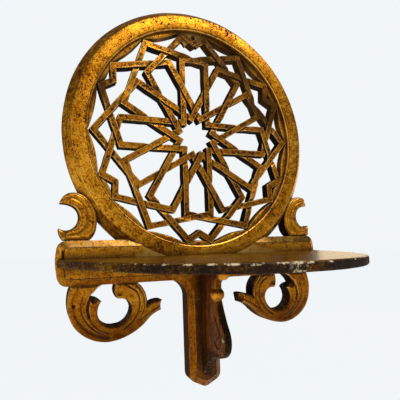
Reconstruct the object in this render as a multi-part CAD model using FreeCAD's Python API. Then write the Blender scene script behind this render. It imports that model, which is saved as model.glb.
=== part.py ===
# Kavukluk: a carved and gilded wall stand for a turban, in millimetres.
# The back lies on the wall plane y = 0 and the front faces -Y. The origin is the
# middle of the back, level with the top of the shelf. Depths are counted from the wall.
import FreeCAD, Part
import math
import os

# Ring, counted from its lowest point under the shelf's top
RING_FOOT_HEIGHT = -21.0
RING_OUTER_RADIUS = 200.0
RING_WIDTH = 34.0
RING_BEVEL_WIDTH = 12.0
RING_EDGE_DEPTH = 11.0
RING_CREST_SETBACK = 0.3
RING_CROWN = 1.2
RING_LIP_FALL = 3.2
RING_LIP_THICKNESS = 3.5
RING_LIP_COVER = 8.0
RING_BACK_EASING = 1.5
RING_SEGMENTS = 6
FIRST_JOINT_DEG = 108.0

# Loose tongues across the ring joints
TONGUE_LENGTH = 28.0
TONGUE_THICKNESS = 5.0
TONGUE_EDGE_WOOD = 7.0
TONGUE_BACK_WOOD = 9.0

# Pierced rosette panel
PANEL_BACK_DEPTH = 5.0
PANEL_RIM_WIDTH = 15.5
STRAP_RISE = 1.5
STRAP_WIDTH = 9.0
PETAL_COUNT = 12
PETAL_HALF_WIDTH = 20.2
PETAL_END_INSET = 47.4
SINGLE_TIP_INSET = 8.2
PAIR_TIP_INSET = 6.5
PAIR_TIP_DEG = 6.5
NOTCH_INSET = 18.7
HANG_HOLE_RADIUS = 3.5
HANG_HOLE_INSET = 9.0
HANG_TAB_DEG = 6.0

# Crossbar and stem, sawn to one outline with a wide bevel
PLATE_DEPTH = 24.0
BEVEL_WIDTH = 9.0
BEVEL_DROP = 5.0
BAR_TOP = 24.0
BAR_BOTTOM = -36.0
BAR_OVERHANG = 10.0
BAR_SHOULDER = 4.0
BAR_CORNER_EASING = 11.0
BAR_BULGE_HEIGHT = -4.0
BAR_BULGE_EASING = 8.0
STEM_HALF_WIDTH = 24.5
STEM_FLARE = 25.0
STEM_CORNER_HEIGHT = -179.0
STEM_CORNER_EASING = 7.0
STEM_TIP_HEIGHT = -191.0
STEM_TIP_EASING = 5.5
STEM_TENON_HALF_WIDTH = 15.0
STEM_TENON_LENGTH = 34.0
STEM_TENON_THICKNESS = 10.0

# Shelf
SHELF_THICKNESS = 10.0
SHELF_SETBACK = 2.0
SHELF_REACH = 215.0
SHELF_NOSE_RADIUS = 172.0
SHELF_NOSE_DEG = 54.5
SHELF_EDGE_ROUNDING = 2.5
SHELF_TONGUE_THICKNESS = 5.0
SHELF_TONGUE_LENGTH = 6.0
SHELF_TONGUE_INSET = 14.0

# Corbel under the shelf, reaches counted from the crossbar, heights one below the other
CORBEL_THICKNESS = 12.0
CORBEL_PAD_REACH = 60.0
CORBEL_PAD_HEIGHT = 16.0
CORBEL_LIP_EASING = 7.0
CORBEL_COVE_HEIGHT = 14.0
CORBEL_NECK_REACH = 42.0
CORBEL_NECK_HEIGHT = 6.0
CORBEL_BEAD_HEIGHT = 14.0
CORBEL_BEAD_SWELL = 4.0
CORBEL_BREAST_HEIGHT = 39.0
CORBEL_BREAST_HOLLOW = 1.5
CORBEL_NOSE_REACH = 63.0
CORBEL_NOSE_HEIGHT = 26.0
CORBEL_NOSE_SWELL = 3.0
CORBEL_CHIN_REACH = 36.0
CORBEL_CHIN_HEIGHT = 11.0
CORBEL_TAIL_HEIGHT = 38.0
CORBEL_TAIL_HOLLOW = 6.0

# Upper scroll: foot and curve counted from where it leans on the ring and from the bar's top
UPPER_SCROLL_DEPTH = 20.0
UPPER_SCROLL_LEAN = 46.0
UPPER_SCROLL_FOOT = (-2.2, 0.0)
UPPER_SCROLL_CURVE = (
    ((32.3, 0.0),),
    ((36.8, 8.0), (37.8, 17.5)),
    ((27.8, 14.0), (18.3, 17.5)),
    ((10.8, 31.5), (19.3, 46.5)),
    ((26.8, 49.2), (35.8, 50.0)),
    ((30.3, 60.5), (18.3, 65.0)),
    ((5.8, 62.5), (-4.7, 53.0)),
    ((-13.2, 32.0), (-12.7, 17.0)),
    ((-9.2, 7.0), UPPER_SCROLL_FOOT),
)
UPPER_DOWEL_INSET = 6.3

# Lower scroll: foot and curve counted inwards from the bar's end and up from its underside
LOWER_SCROLL_DEPTH = 21.0
LOWER_SCROLL_FOOT = (-19.0, 0.0)
LOWER_SCROLL_CURVE = (
    ((-14.5, -24.0), (-24.0, -54.0)),
    ((-44.0, -70.5), (-70.0, -76.5)),
    ((-98.0, -70.0), (-124.0, -52.5)),
    ((-133.5, -44.5), (-145.0, -40.0)),
    ((-147.5, -26.0),),
    ((-135.0, -26.5), (-123.5, -32.5)),
    ((-122.0, -14.0), (-111.0, 0.0)),
    ((-80.0, 0.0),),
    ((-78.2, -11.0), (-83.0, -20.5)),
    ((-96.5, -24.0), (-101.5, -34.0)),
    ((-94.5, -49.5), (-78.0, -56.0)),
    ((-61.5, -51.0), (-54.5, -38.0)),
    ((-56.0, -29.0), (-60.0, -22.0)),
    ((-53.5, -17.5), (-46.0, -16.0)),
    ((-52.0, -7.0), (-62.0, 0.0)),
    (LOWER_SCROLL_FOOT,),
)
LOWER_DOWEL_INSETS = (35.0, 96.0)
SCROLL_EDGE = 2.5
LONG_SWEEP = 50.0

# Dowels, screws and sprigs
DOWEL_RADIUS = 3.0
DOWEL_EMBED = 12.0
SCROLL_DOWEL_DEPTH = 9.0
RING_DOWEL_DEPTH = 5.5
RING_DOWEL_INSET = 118.0
RING_DOWEL_EMBED = 16.0
SCREW_RADIUS = 2.0
SCREW_TIP_RADIUS = 0.5
SCREW_TIP_LENGTH = 4.0
SCREW_HEAD_RADIUS = 4.2
SCREW_HEAD_LENGTH = 2.6
SCREW_HEAD_SUNK = 1.0
SHELF_SCREW_LENGTH = 48.0
SHELF_SCREW_INSETS = (38.0, 98.0)
CORBEL_SCREW_LENGTH = 40.0
CORBEL_SCREW_DROPS = (72.0, 104.0)
SPRIG_RADIUS = 0.8
SPRIG_LENGTH = 16.0

# Named clearances
REBATE_CLEARANCE = 0.3
END_CLEARANCE = 0.3
BORE_CLEARANCE = 0.05

# Places that follow from the sizes
RING_CENTRE_HEIGHT = RING_FOOT_HEIGHT + RING_OUTER_RADIUS
RING_FACE_RADIUS = RING_OUTER_RADIUS - RING_BEVEL_WIDTH
RING_BORE_RADIUS = RING_OUTER_RADIUS - RING_WIDTH
RING_CREST_RADIUS = (RING_FACE_RADIUS + RING_BORE_RADIUS) / 2
RING_CREST_DEPTH = PLATE_DEPTH - RING_CREST_SETBACK
RING_FACE_DEPTH = RING_CREST_DEPTH - RING_CROWN
RING_LIP_DEPTH = RING_CREST_DEPTH - RING_LIP_FALL
PANEL_RIM_DEPTH = RING_LIP_DEPTH - RING_LIP_THICKNESS
PANEL_RADIUS = RING_BORE_RADIUS + RING_LIP_COVER
REBATE_RADIUS = PANEL_RADIUS + REBATE_CLEARANCE
STRAP_FACE_DEPTH = PANEL_RIM_DEPTH + STRAP_RISE
BAR_HALF_LENGTH = RING_OUTER_RADIUS + BAR_OVERHANG
STEM_TOP = BAR_BOTTOM - STEM_FLARE
RING_CENTRE = FreeCAD.Vector(0, 0, RING_CENTRE_HEIGHT)
OUT_OF_WALL = FreeCAD.Vector(0, -1, 0)
UP = FreeCAD.Vector(0, 0, 1)
FAR = 3 * RING_OUTER_RADIUS


def at(x, z, depth=0.0):
    """A point by its place on the front view and its depth from the wall."""
    return FreeCAD.Vector(x, -depth, z)


def polar(radius, degrees):
    """A flat (x, z) point about the ring's centre, degrees counted from +X towards +Z."""
    turn = math.radians(degrees)
    return (radius * math.cos(turn), radius * math.sin(turn))


def outline(start, steps, place=at):
    """A closed wire: each step is (end) for a line or (middle, end) for an arc."""
    edges = []
    here = place(*start)
    for step in steps:
        end = place(*step[-1])
        if len(step) == 1:
            edges.append(Part.LineSegment(here, end).toShape())
        else:
            edges.append(Part.Arc(here, place(*step[0]), end).toShape())
        here = end
    return Part.Wire(edges)


def rounded(corners):
    """A closed wire through (x, z, easing) corners, each rounded off over its easing."""
    steps = []
    count = len(corners)
    for index, (x, z, easing) in enumerate(corners):
        here = FreeCAD.Vector(x, 0, z)
        toward = []
        for other in (corners[index - 1], corners[(index + 1) % count]):
            toward.append((FreeCAD.Vector(other[0], 0, other[1]) - here).normalize())
        half_angle = toward[0].getAngle(toward[1]) / 2
        rise = easing * (1 - math.sin(half_angle)) / math.cos(half_angle)
        middle = here + (toward[0] + toward[1]).normalize() * rise
        first = here + toward[0] * easing
        last = here + toward[1] * easing
        steps.append(((first.x, first.z),))
        steps.append(((middle.x, middle.z), (last.x, last.z)))
    return outline(steps[-1][-1], steps)


def board(face, back, front):
    """A flat piece of the given front-view face between two depths."""
    moved = face.copy()
    moved.translate(OUT_OF_WALL * back)
    return moved.extrude(OUT_OF_WALL * (front - back))


def disc(radius, back, front, centre=RING_CENTRE):
    """A round block standing out of the wall between two depths."""
    return Part.makeCylinder(radius, front - back, centre + OUT_OF_WALL * back, OUT_OF_WALL)


def block(x_from, x_to, depth_from, depth_to, z_from, z_to):
    """A box by its limits, the depths counted from the wall."""
    size = (x_to - x_from, depth_to - depth_from, z_to - z_from)
    return Part.makeBox(*size, FreeCAD.Vector(x_from, -depth_to, z_from))


def turned(shape, degrees):
    """The shape turned about the ring's centre, anticlockwise from the front."""
    copy = shape.copy()
    copy.rotate(RING_CENTRE, OUT_OF_WALL, degrees)
    return copy


def mirrored(shape):
    """The matching piece on the other side of the stand."""
    return shape.mirror(FreeCAD.Vector(0, 0, 0), FreeCAD.Vector(1, 0, 0))


def both_sides(shape):
    """A piece and its mirror image as one group of separate solids."""
    return Part.makeCompound([shape, mirrored(shape)])


def save(name, shape):
    """Write one node."""
    shape.exportStep("parts/" + name + ".step")


def ring_profile():
    """The ring's section: a rebate behind a thin lip, a crowned face and a bevelled edge."""
    steps = [
        ((RING_OUTER_RADIUS - RING_BACK_EASING, 0),),
        ((RING_OUTER_RADIUS, -RING_BACK_EASING),),
        ((RING_OUTER_RADIUS, -RING_EDGE_DEPTH),),
        ((RING_FACE_RADIUS, -RING_FACE_DEPTH),),
        ((RING_CREST_RADIUS, -RING_CREST_DEPTH), (RING_BORE_RADIUS, -RING_LIP_DEPTH)),
        ((RING_BORE_RADIUS, -PANEL_RIM_DEPTH),),
        ((REBATE_RADIUS, -PANEL_RIM_DEPTH),),
        ((REBATE_RADIUS, 0),),
    ]
    wire = outline((REBATE_RADIUS, 0), steps, lambda r, y: FreeCAD.Vector(r, y, RING_CENTRE_HEIGHT))
    return Part.Face(wire)


def ring_seat():
    """The space that the ring and its panel take out of the pieces round them."""
    steps = [
        ((RING_OUTER_RADIUS, 1),),
        ((RING_OUTER_RADIUS, -RING_EDGE_DEPTH),),
        ((RING_FACE_RADIUS, -RING_FACE_DEPTH),),
        ((RING_FACE_RADIUS, -2 * PLATE_DEPTH),),
        ((0, -2 * PLATE_DEPTH),),
        ((0, 1),),
    ]
    wire = outline((0, 1), steps, lambda r, y: FreeCAD.Vector(r, y, RING_CENTRE_HEIGHT))
    return Part.Face(wire).revolve(RING_CENTRE, OUT_OF_WALL, 360)


def joint_angles():
    """Where the ring's segments meet."""
    return [FIRST_JOINT_DEG + index * 360.0 / RING_SEGMENTS for index in range(RING_SEGMENTS)]


def tongue(clearance=0.0):
    """One loose tongue at the +X side of the ring, or its slot when given clearances."""
    outer = RING_OUTER_RADIUS - TONGUE_EDGE_WOOD + clearance
    inner = REBATE_RADIUS + TONGUE_EDGE_WOOD - clearance
    half = TONGUE_LENGTH / 2 + clearance
    top = TONGUE_BACK_WOOD + TONGUE_THICKNESS
    slab = block(inner, outer, TONGUE_BACK_WOOD, top, -half, half)
    slab.translate(RING_CENTRE)
    return slab


def sprig(clearance=0.0):
    """One small iron sprig that lies on the panel's back and runs into the ring."""
    start = PANEL_RADIUS - SPRIG_LENGTH / 2 - clearance
    depth = PANEL_BACK_DEPTH - SPRIG_RADIUS
    along = FreeCAD.Vector(1, 0, 0)
    radius = SPRIG_RADIUS + clearance
    foot = RING_CENTRE + at(start, 0, depth)
    return Part.makeCylinder(radius, SPRIG_LENGTH + 2 * clearance, foot, along)


def around_ring(shape, angles):
    """Copies of a piece turned to each of the angles."""
    return Part.makeCompound([turned(shape, angle) for angle in angles])


def sprig_angles():
    """The sprigs stand midway along the ring's segments."""
    return [joint + 180.0 / RING_SEGMENTS for joint in joint_angles()]


def mitred(points, half_width):
    """The two edges of a strap along points, mitred at each corner.

    The first and last points only give the direction that the strap meets there.
    """
    left = []
    right = []
    for before, here, after in zip(points, points[1:], points[2:]):
        first = math.atan2(here[1] - before[1], here[0] - before[0])
        second = math.atan2(after[1] - here[1], after[0] - here[0])
        middle = (first + second) / 2 + math.pi / 2
        reach = half_width / math.cos((second - first) / 2)
        shift = (reach * math.cos(middle), reach * math.sin(middle))
        left.append((here[0] + shift[0], here[1] + shift[1]))
        right.append((here[0] - shift[0], here[1] - shift[1]))
    return left + right[::-1]


def strap(points):
    """One strap of the rosette as a flat face along its centre line."""
    corners = mitred(points, STRAP_WIDTH / 2)
    steps = [(corner,) for corner in corners[1:] + corners[:1]]
    return Part.Face(outline(corners[0], steps))


def petal_corner(axis_deg, side):
    """The outer corner of a petal, side +1 anticlockwise of its axis."""
    along = polar(RING_BORE_RADIUS - PETAL_END_INSET, axis_deg)
    across = polar(PETAL_HALF_WIDTH, axis_deg + side * 90)
    return (along[0] + across[0], along[1] + across[1])


def inner_corner(axis_deg, side):
    """Where that side of the petal ends, at the star in the middle."""
    slant = math.pi / 4
    return polar(PETAL_HALF_WIDTH / math.sin(slant), axis_deg + side * 45)


def mirrored_point(point, axis_deg):
    """The point mirrored across a line through the rosette's centre."""
    radius = math.hypot(*point)
    angle = math.degrees(math.atan2(point[1], point[0]))
    return polar(radius, 2 * axis_deg - angle)


def strap_line(fold, axis_deg, reach_deg):
    """The centre line of a strap that folds on its axis and runs down two petals.

    Half of it goes from the fold to the far corner of the petal that lies
    reach_deg away and down its side; the other half is its mirror image.
    """
    side = 1 if reach_deg > 0 else -1
    petal = axis_deg + reach_deg
    corner = petal_corner(petal, side)
    end = inner_corner(petal, side)
    beyond = mirrored_point(corner, petal + side * 45)
    half = [beyond, end, corner] + fold
    other = [mirrored_point(point, axis_deg) for point in reversed(half[:-1])]
    return half + other


def lattice():
    """The interlaced straps as one flat face: two kinds of folded strap, six of each."""
    step = 360.0 / PETAL_COUNT
    straps = []
    for index in range(PETAL_COUNT // 2):
        single = 2 * index * step
        tip = [polar(RING_BORE_RADIUS - SINGLE_TIP_INSET, single)]
        straps.append(strap(strap_line(tip, single, step)))
        pair = single + step
        tip = polar(RING_BORE_RADIUS - PAIR_TIP_INSET, pair - PAIR_TIP_DEG)
        notch = polar(RING_BORE_RADIUS - NOTCH_INSET, pair)
        straps.append(strap(strap_line([tip, notch], pair, -step)))
    return straps[0].fuse(straps[1:]).removeSplitter()


def rosette_panel():
    """The pierced panel: a rim, the straps that cross inside it and the hanging hole."""
    rim = disc(PANEL_RADIUS, PANEL_BACK_DEPTH, PANEL_RIM_DEPTH)
    rim = rim.cut(disc(RING_BORE_RADIUS - PANEL_RIM_WIDTH / 2, 0, PLATE_DEPTH))
    straps = board(lattice(), PANEL_BACK_DEPTH, STRAP_FACE_DEPTH)
    straps.translate(RING_CENTRE)
    inside_lip = disc(RING_BORE_RADIUS - REBATE_CLEARANCE, PANEL_BACK_DEPTH, STRAP_FACE_DEPTH)
    panel = rim.fuse([straps.common(inside_lip), hanging_tab()]).removeSplitter()
    hole = RING_CENTRE + at(0, RING_BORE_RADIUS - HANG_HOLE_INSET)
    return panel.cut(disc(HANG_HOLE_RADIUS, 0, PLATE_DEPTH, hole))


def hanging_tab():
    """Solid wood that fills the top notch round the hanging hole."""
    fold = polar(RING_BORE_RADIUS - PAIR_TIP_INSET, 90 + HANG_TAB_DEG)
    steps = [
        ((-fold[0], fold[1]),),
        ((0, RING_BORE_RADIUS - NOTCH_INSET),),
        (fold,),
    ]
    tab = board(Part.Face(outline(fold, steps)), PANEL_BACK_DEPTH, PANEL_RIM_DEPTH)
    tab.translate(RING_CENTRE)
    return tab


def plate_outline():
    """The front outline of the crossbar with its stem, from the top right corner round."""
    shoulder = BAR_HALF_LENGTH - BAR_SHOULDER
    right = [
        (shoulder, BAR_TOP, BAR_CORNER_EASING),
        (BAR_HALF_LENGTH, BAR_BULGE_HEIGHT, BAR_BULGE_EASING),
        (shoulder, BAR_BOTTOM, BAR_CORNER_EASING),
        (STEM_HALF_WIDTH, BAR_BOTTOM, STEM_FLARE),
        (STEM_HALF_WIDTH, STEM_CORNER_HEIGHT, STEM_CORNER_EASING),
    ]
    left = [(-x, z, easing) for x, z, easing in reversed(right)]
    return rounded(right + [(0, STEM_TIP_HEIGHT, STEM_TIP_EASING)] + left)


def bevelled_plate():
    """Crossbar and stem in one, with the bevel run round the front."""
    plate = board(Part.Face(plate_outline()), 0, PLATE_DEPTH)
    rim = [edge for edge in plate.Edges if edge.BoundBox.YMax < BEVEL_DROP - PLATE_DEPTH]
    return plate.makeChamfer(BEVEL_DROP, BEVEL_WIDTH, rim)


def stem_tenon(clearance=0.0):
    """The stem's tenon, or its mortise when given a clearance."""
    half = STEM_TENON_HALF_WIDTH + clearance
    back = (PLATE_DEPTH - STEM_TENON_THICKNESS) / 2
    top = STEM_TOP + STEM_TENON_LENGTH + clearance
    front = back + STEM_TENON_THICKNESS
    return block(-half, half, back, front, STEM_TOP, top)


def shelf_outline():
    """The shelf from above: a nose arc that runs smoothly into two flatter side arcs."""
    front = PLATE_DEPTH + SHELF_REACH
    turn = math.radians(SHELF_NOSE_DEG)
    nose = FreeCAD.Vector(0, SHELF_NOSE_RADIUS - front, -SHELF_THICKNESS)
    corner = FreeCAD.Vector(BAR_HALF_LENGTH - SHELF_SETBACK, -PLATE_DEPTH, -SHELF_THICKNESS)
    outward = FreeCAD.Vector(math.sin(turn), -math.cos(turn), 0)
    shoulder = nose + outward * SHELF_NOSE_RADIUS
    room = SHELF_NOSE_RADIUS - (corner - nose).dot(outward)
    side_radius = (corner - shoulder).Length ** 2 / (2 * room)
    side = shoulder - outward * side_radius
    middle = side + ((corner + shoulder) / 2 - side).normalize() * side_radius
    steps = [
        ((middle.x, middle.y), (shoulder.x, shoulder.y)),
        ((0, -front), (-shoulder.x, shoulder.y)),
        ((-middle.x, middle.y), (-corner.x, corner.y)),
        ((corner.x, corner.y),),
    ]
    start = (corner.x, corner.y)
    return outline(start, steps, lambda x, y: FreeCAD.Vector(x, y, -SHELF_THICKNESS))


def shelf_tongue(clearance=0.0):
    """The tongue on the shelf's back edge, or its groove when given a clearance."""
    half = BAR_HALF_LENGTH - SHELF_SETBACK - SHELF_TONGUE_INSET + clearance
    low = -(SHELF_THICKNESS + SHELF_TONGUE_THICKNESS) / 2
    back = PLATE_DEPTH - SHELF_TONGUE_LENGTH - clearance
    return block(-half, half, back, PLATE_DEPTH, low, low + SHELF_TONGUE_THICKNESS)


def shelf():
    """The shelf board with rounded edges and a tongue along the back."""
    slab = Part.Face(shelf_outline()).extrude(UP * SHELF_THICKNESS)
    curved = []
    for edge in slab.Edges:
        level = edge.BoundBox.ZLength < SHELF_EDGE_ROUNDING
        if level and edge.BoundBox.YLength > SHELF_EDGE_ROUNDING:
            curved.append(edge)
    slab = slab.makeFillet(SHELF_EDGE_ROUNDING, curved)
    slab = slab.fuse(shelf_tongue()).removeSplitter()
    return slab.cut(shelf_screws(BORE_CLEARANCE))


def corbel():
    """The bracket under the shelf: pad, cove, bead, breast, nose and a tail down the stem."""
    pad = CORBEL_PAD_HEIGHT
    lip = CORBEL_PAD_REACH - CORBEL_LIP_EASING
    neck = CORBEL_NECK_REACH
    cove = pad + CORBEL_COVE_HEIGHT
    bead = cove + CORBEL_NECK_HEIGHT
    breast = bead + CORBEL_BEAD_HEIGHT
    nose = breast + CORBEL_BREAST_HEIGHT
    brow = CORBEL_NOSE_REACH - CORBEL_NOSE_SWELL
    chin = nose + CORBEL_NOSE_HEIGHT
    tail = chin + CORBEL_CHIN_HEIGHT
    easing = CORBEL_LIP_EASING * (1 - math.sqrt(0.5))
    hollow = CORBEL_COVE_HEIGHT - CORBEL_LIP_EASING
    cove_bend = (lip - neck) * (1 - math.sqrt(0.5))
    steps = [
        ((CORBEL_PAD_REACH, 0),),
        ((CORBEL_PAD_REACH, pad),),
        ((lip + CORBEL_LIP_EASING - easing, pad + CORBEL_LIP_EASING - easing),
         (lip, pad + CORBEL_LIP_EASING)),
        ((neck + cove_bend, pad + CORBEL_LIP_EASING + hollow * (1 - math.sqrt(0.5))),
         (neck, cove)),
        ((neck, bead),),
        ((neck + CORBEL_BEAD_SWELL, (bead + breast) / 2), (neck, breast)),
        (((neck + brow) / 2 - CORBEL_BREAST_HOLLOW, (breast + nose) / 2), (brow, nose)),
        ((CORBEL_NOSE_REACH, (nose + chin) / 2), (brow, chin)),
        (((brow + CORBEL_CHIN_REACH) / 2 + CORBEL_NOSE_SWELL, (chin + tail) / 2 + CORBEL_NOSE_SWELL),
         (CORBEL_CHIN_REACH, tail)),
        ((CORBEL_CHIN_REACH / 2 - CORBEL_TAIL_HOLLOW / 2,
          tail + (CORBEL_TAIL_HEIGHT - CORBEL_TAIL_HOLLOW) / 2), (0, tail + CORBEL_TAIL_HEIGHT)),
        ((0, 0),),
    ]
    left = -CORBEL_THICKNESS / 2

    def place(reach, drop):
        return FreeCAD.Vector(left, -PLATE_DEPTH - reach, -SHELF_THICKNESS - drop)

    rib = Part.Face(outline((0, 0), steps, place)).extrude(FreeCAD.Vector(CORBEL_THICKNESS, 0, 0))
    return rib.cut(corbel_screws(BORE_CLEARANCE))


def ring_side(height):
    """How far out the ring's outer edge lies at a height."""
    return math.sqrt(RING_OUTER_RADIUS ** 2 - (RING_CENTRE_HEIGHT - height) ** 2)


def upper_scroll_lean():
    """The place, over the bar's top, where the upper scroll leans on the ring."""
    return ring_side(BAR_TOP + UPPER_SCROLL_LEAN)


def upper_scroll():
    """The right-hand C-scroll between the crossbar and the ring, coped to the ring."""
    wire = outline(UPPER_SCROLL_FOOT, UPPER_SCROLL_CURVE)
    wire.translate(at(upper_scroll_lean(), BAR_TOP))
    scroll = eased(board(Part.Face(wire), 0, UPPER_SCROLL_DEPTH), UPPER_SCROLL_DEPTH)
    scroll = scroll.cut(ring_seat())
    return scroll.cut(upper_dowel(BORE_CLEARANCE))


def lower_scroll():
    """The right-hand scroll under the crossbar: outer C, inner leaf, curl and tail."""
    wire = outline(LOWER_SCROLL_FOOT, LOWER_SCROLL_CURVE)
    wire.translate(at(BAR_HALF_LENGTH, BAR_BOTTOM))
    scroll = board(Part.Face(wire), 0, LOWER_SCROLL_DEPTH)
    scroll = eased(scroll, LOWER_SCROLL_DEPTH, LONG_SWEEP)
    return scroll.cut(lower_dowels(BORE_CLEARANCE))


def eased(scroll, depth, shortest=0.0):
    """Soften the curved front arrises of a scroll that are longer than the shortest."""
    front = []
    for edge in scroll.Edges:
        box = edge.BoundBox
        on_front = box.YMax < SCROLL_EDGE - depth
        if on_front and box.ZLength > SCROLL_EDGE and edge.Length > shortest:
            front.append(edge)
    return scroll.makeChamfer(SCROLL_EDGE, front)


def dowel(x, z, embed, depth, clearance=0.0):
    """An upright round dowel that goes as far into the piece below z as above it."""
    radius = DOWEL_RADIUS + clearance
    return Part.makeCylinder(radius, 2 * embed, at(x, z - embed, depth), UP)


def ring_dowel(clearance=0.0):
    """The right-hand dowel that ties the ring to the crossbar under it."""
    x = BAR_HALF_LENGTH - RING_DOWEL_INSET
    seat = RING_CENTRE_HEIGHT - math.sqrt(RING_OUTER_RADIUS ** 2 - x ** 2)
    return dowel(x, seat, RING_DOWEL_EMBED, RING_DOWEL_DEPTH, clearance)


def upper_dowel(clearance=0.0):
    """The right-hand dowel between the crossbar and the upper scroll."""
    x = upper_scroll_lean() + UPPER_DOWEL_INSET
    return dowel(x, BAR_TOP, DOWEL_EMBED, SCROLL_DOWEL_DEPTH, clearance)


def lower_dowels(clearance=0.0):
    """The right-hand dowels between the crossbar and the lower scroll."""
    pins = []
    for inset in LOWER_DOWEL_INSETS:
        x = BAR_HALF_LENGTH - inset
        pins.append(dowel(x, BAR_BOTTOM, DOWEL_EMBED, SCROLL_DOWEL_DEPTH, clearance))
    return Part.makeCompound(pins)


def screw(x, z, length, clearance=0.0):
    """A countersunk screw driven from the back, or its hole when given a clearance."""
    head = SCREW_HEAD_RADIUS + clearance
    shank = SCREW_RADIUS + clearance
    straight = length - SCREW_HEAD_LENGTH - SCREW_TIP_LENGTH
    start = SCREW_HEAD_SUNK
    neck = start + SCREW_HEAD_LENGTH
    cone = Part.makeCone(head, shank, SCREW_HEAD_LENGTH, at(x, z, start), OUT_OF_WALL)
    rod = Part.makeCylinder(shank, straight, at(x, z, neck), OUT_OF_WALL)
    point = at(x, z, neck + straight)
    tip = Part.makeCone(shank, SCREW_TIP_RADIUS + clearance, SCREW_TIP_LENGTH, point, OUT_OF_WALL)
    solid = cone.fuse([rod, tip])
    if clearance:
        solid = solid.fuse(disc(head, 0, SCREW_HEAD_SUNK, at(x, z)))
    return solid.removeSplitter()


def shelf_screws(clearance=0.0):
    """Screws through the crossbar into the shelf's back edge."""
    level = -SHELF_THICKNESS / 2
    screws = []
    for inset in SHELF_SCREW_INSETS:
        for side in (1, -1):
            x = side * (BAR_HALF_LENGTH - inset)
            screws.append(screw(x, level, SHELF_SCREW_LENGTH, clearance))
    return Part.makeCompound(screws)


def corbel_screws(clearance=0.0):
    """Screws through the stem into the corbel."""
    levels = [-SHELF_THICKNESS - drop for drop in CORBEL_SCREW_DROPS]
    screws = [screw(0, level, CORBEL_SCREW_LENGTH, clearance) for level in levels]
    return Part.makeCompound(screws)


def crossbar(plate):
    """The upper part of the plate, coped to the ring, grooved for the shelf and bored."""
    bar = plate.common(block(-FAR, FAR, 0, PLATE_DEPTH, STEM_TOP, FAR))
    bar = bar.cut(ring_seat())
    bar = bar.cut(shelf_tongue(END_CLEARANCE))
    bar = bar.cut(stem_tenon(END_CLEARANCE))
    bar = bar.cut(both_sides(ring_dowel(BORE_CLEARANCE)))
    bar = bar.cut(both_sides(upper_dowel(BORE_CLEARANCE)))
    bar = bar.cut(both_sides(lower_dowels(BORE_CLEARANCE)))
    return bar.cut(shelf_screws(BORE_CLEARANCE))


def stem(plate):
    """The lower part of the plate with its tenon."""
    leg = plate.common(block(-FAR, FAR, 0, PLATE_DEPTH, -FAR, STEM_TOP))
    leg = leg.fuse(stem_tenon()).removeSplitter()
    return leg.cut(corbel_screws(BORE_CLEARANCE))


def ring_segments():
    """The ring's segments, slotted for the tongues and cut for what passes through them."""
    sweep = 360.0 / RING_SEGMENTS
    arc = ring_profile().revolve(RING_CENTRE, OUT_OF_WALL, sweep)
    slots = around_ring(tongue(END_CLEARANCE), joint_angles())
    holes = around_ring(sprig(BORE_CLEARANCE), sprig_angles())
    segments = []
    for joint in joint_angles():
        segment = turned(arc, joint)
        segment = segment.cut(slots)
        segment = segment.cut(holes)
        segment = segment.cut(shelf_tongue(END_CLEARANCE))
        segments.append(segment.cut(both_sides(ring_dowel(BORE_CLEARANCE))))
    return segments


def main():
    """Build every node and write it."""
    os.makedirs("parts", exist_ok=True)
    plate = bevelled_plate()
    for number, segment in enumerate(ring_segments(), start=1):
        save("ring_segment_%d" % number, segment)
    save("ring_tongues", around_ring(tongue(), joint_angles()))
    save("rosette_panel", rosette_panel())
    save("panel_sprigs", around_ring(sprig(), sprig_angles()))
    save("crossbar", crossbar(plate))
    save("stem", stem(plate))
    save("shelf", shelf())
    save("corbel", corbel())
    save("upper_scroll_right", upper_scroll())
    save("upper_scroll_left", mirrored(upper_scroll()))
    save("lower_scroll_right", lower_scroll())
    save("lower_scroll_left", mirrored(lower_scroll()))
    save("ring_dowels", both_sides(ring_dowel()))
    save("upper_scroll_dowels", both_sides(upper_dowel()))
    save("lower_scroll_dowels", both_sides(lower_dowels()))
    save("shelf_screws", shelf_screws())
    save("corbel_screws", corbel_screws())


main()
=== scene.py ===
import math
import bpy
import bmesh
import numpy as np
import mathutils.noise
from mathutils import Matrix, Vector


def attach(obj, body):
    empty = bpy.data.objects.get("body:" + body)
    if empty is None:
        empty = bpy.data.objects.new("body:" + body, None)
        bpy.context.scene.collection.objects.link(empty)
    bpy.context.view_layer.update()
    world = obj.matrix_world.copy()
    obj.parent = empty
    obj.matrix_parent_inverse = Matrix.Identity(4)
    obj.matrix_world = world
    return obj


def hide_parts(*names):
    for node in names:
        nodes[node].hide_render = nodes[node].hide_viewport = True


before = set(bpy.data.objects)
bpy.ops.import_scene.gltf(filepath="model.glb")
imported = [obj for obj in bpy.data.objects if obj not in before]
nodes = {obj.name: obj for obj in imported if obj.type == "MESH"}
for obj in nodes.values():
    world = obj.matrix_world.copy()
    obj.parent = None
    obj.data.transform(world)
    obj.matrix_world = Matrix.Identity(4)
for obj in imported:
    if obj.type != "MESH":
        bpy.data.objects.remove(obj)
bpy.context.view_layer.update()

# The round frame. Six segments of pine are sawn, joined end to end with loose tongues, turned to
# a crowned face with a bevelled outer edge and a thin lip inside, then gessoed and gilded.
MM = 0.001
RING_MIDDLE = 179 * MM
RING_SEGMENT_DEG = 60.0
OPEN_JOINT_DEG = 108.0
JOINT_REACH_DEG = 3.0
JOINT_GAP_DEG = 0.11
JOINT_LINE = 0.8
FACE_RADIUS = 185.0
BEVEL_EDGE = 188.3
RING_SECTION = (
    (174.3, 0.0), (198.5, 0.0), (200.0, 1.5), (200.0, 10.6), (199.7, 11.3), (188.3, 22.3),
    (187.6, 22.6), (182.5, 23.2), (177.0, 23.4), (172.0, 23.0), (169.2, 22.5),
    (168.8, 21.7), (168.3, 21.7), (168.0, 22.2), (167.0, 21.8), (166.3, 21.2), (166.0, 20.4),
    (166.0, 17.0), (174.3, 17.0))
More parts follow.
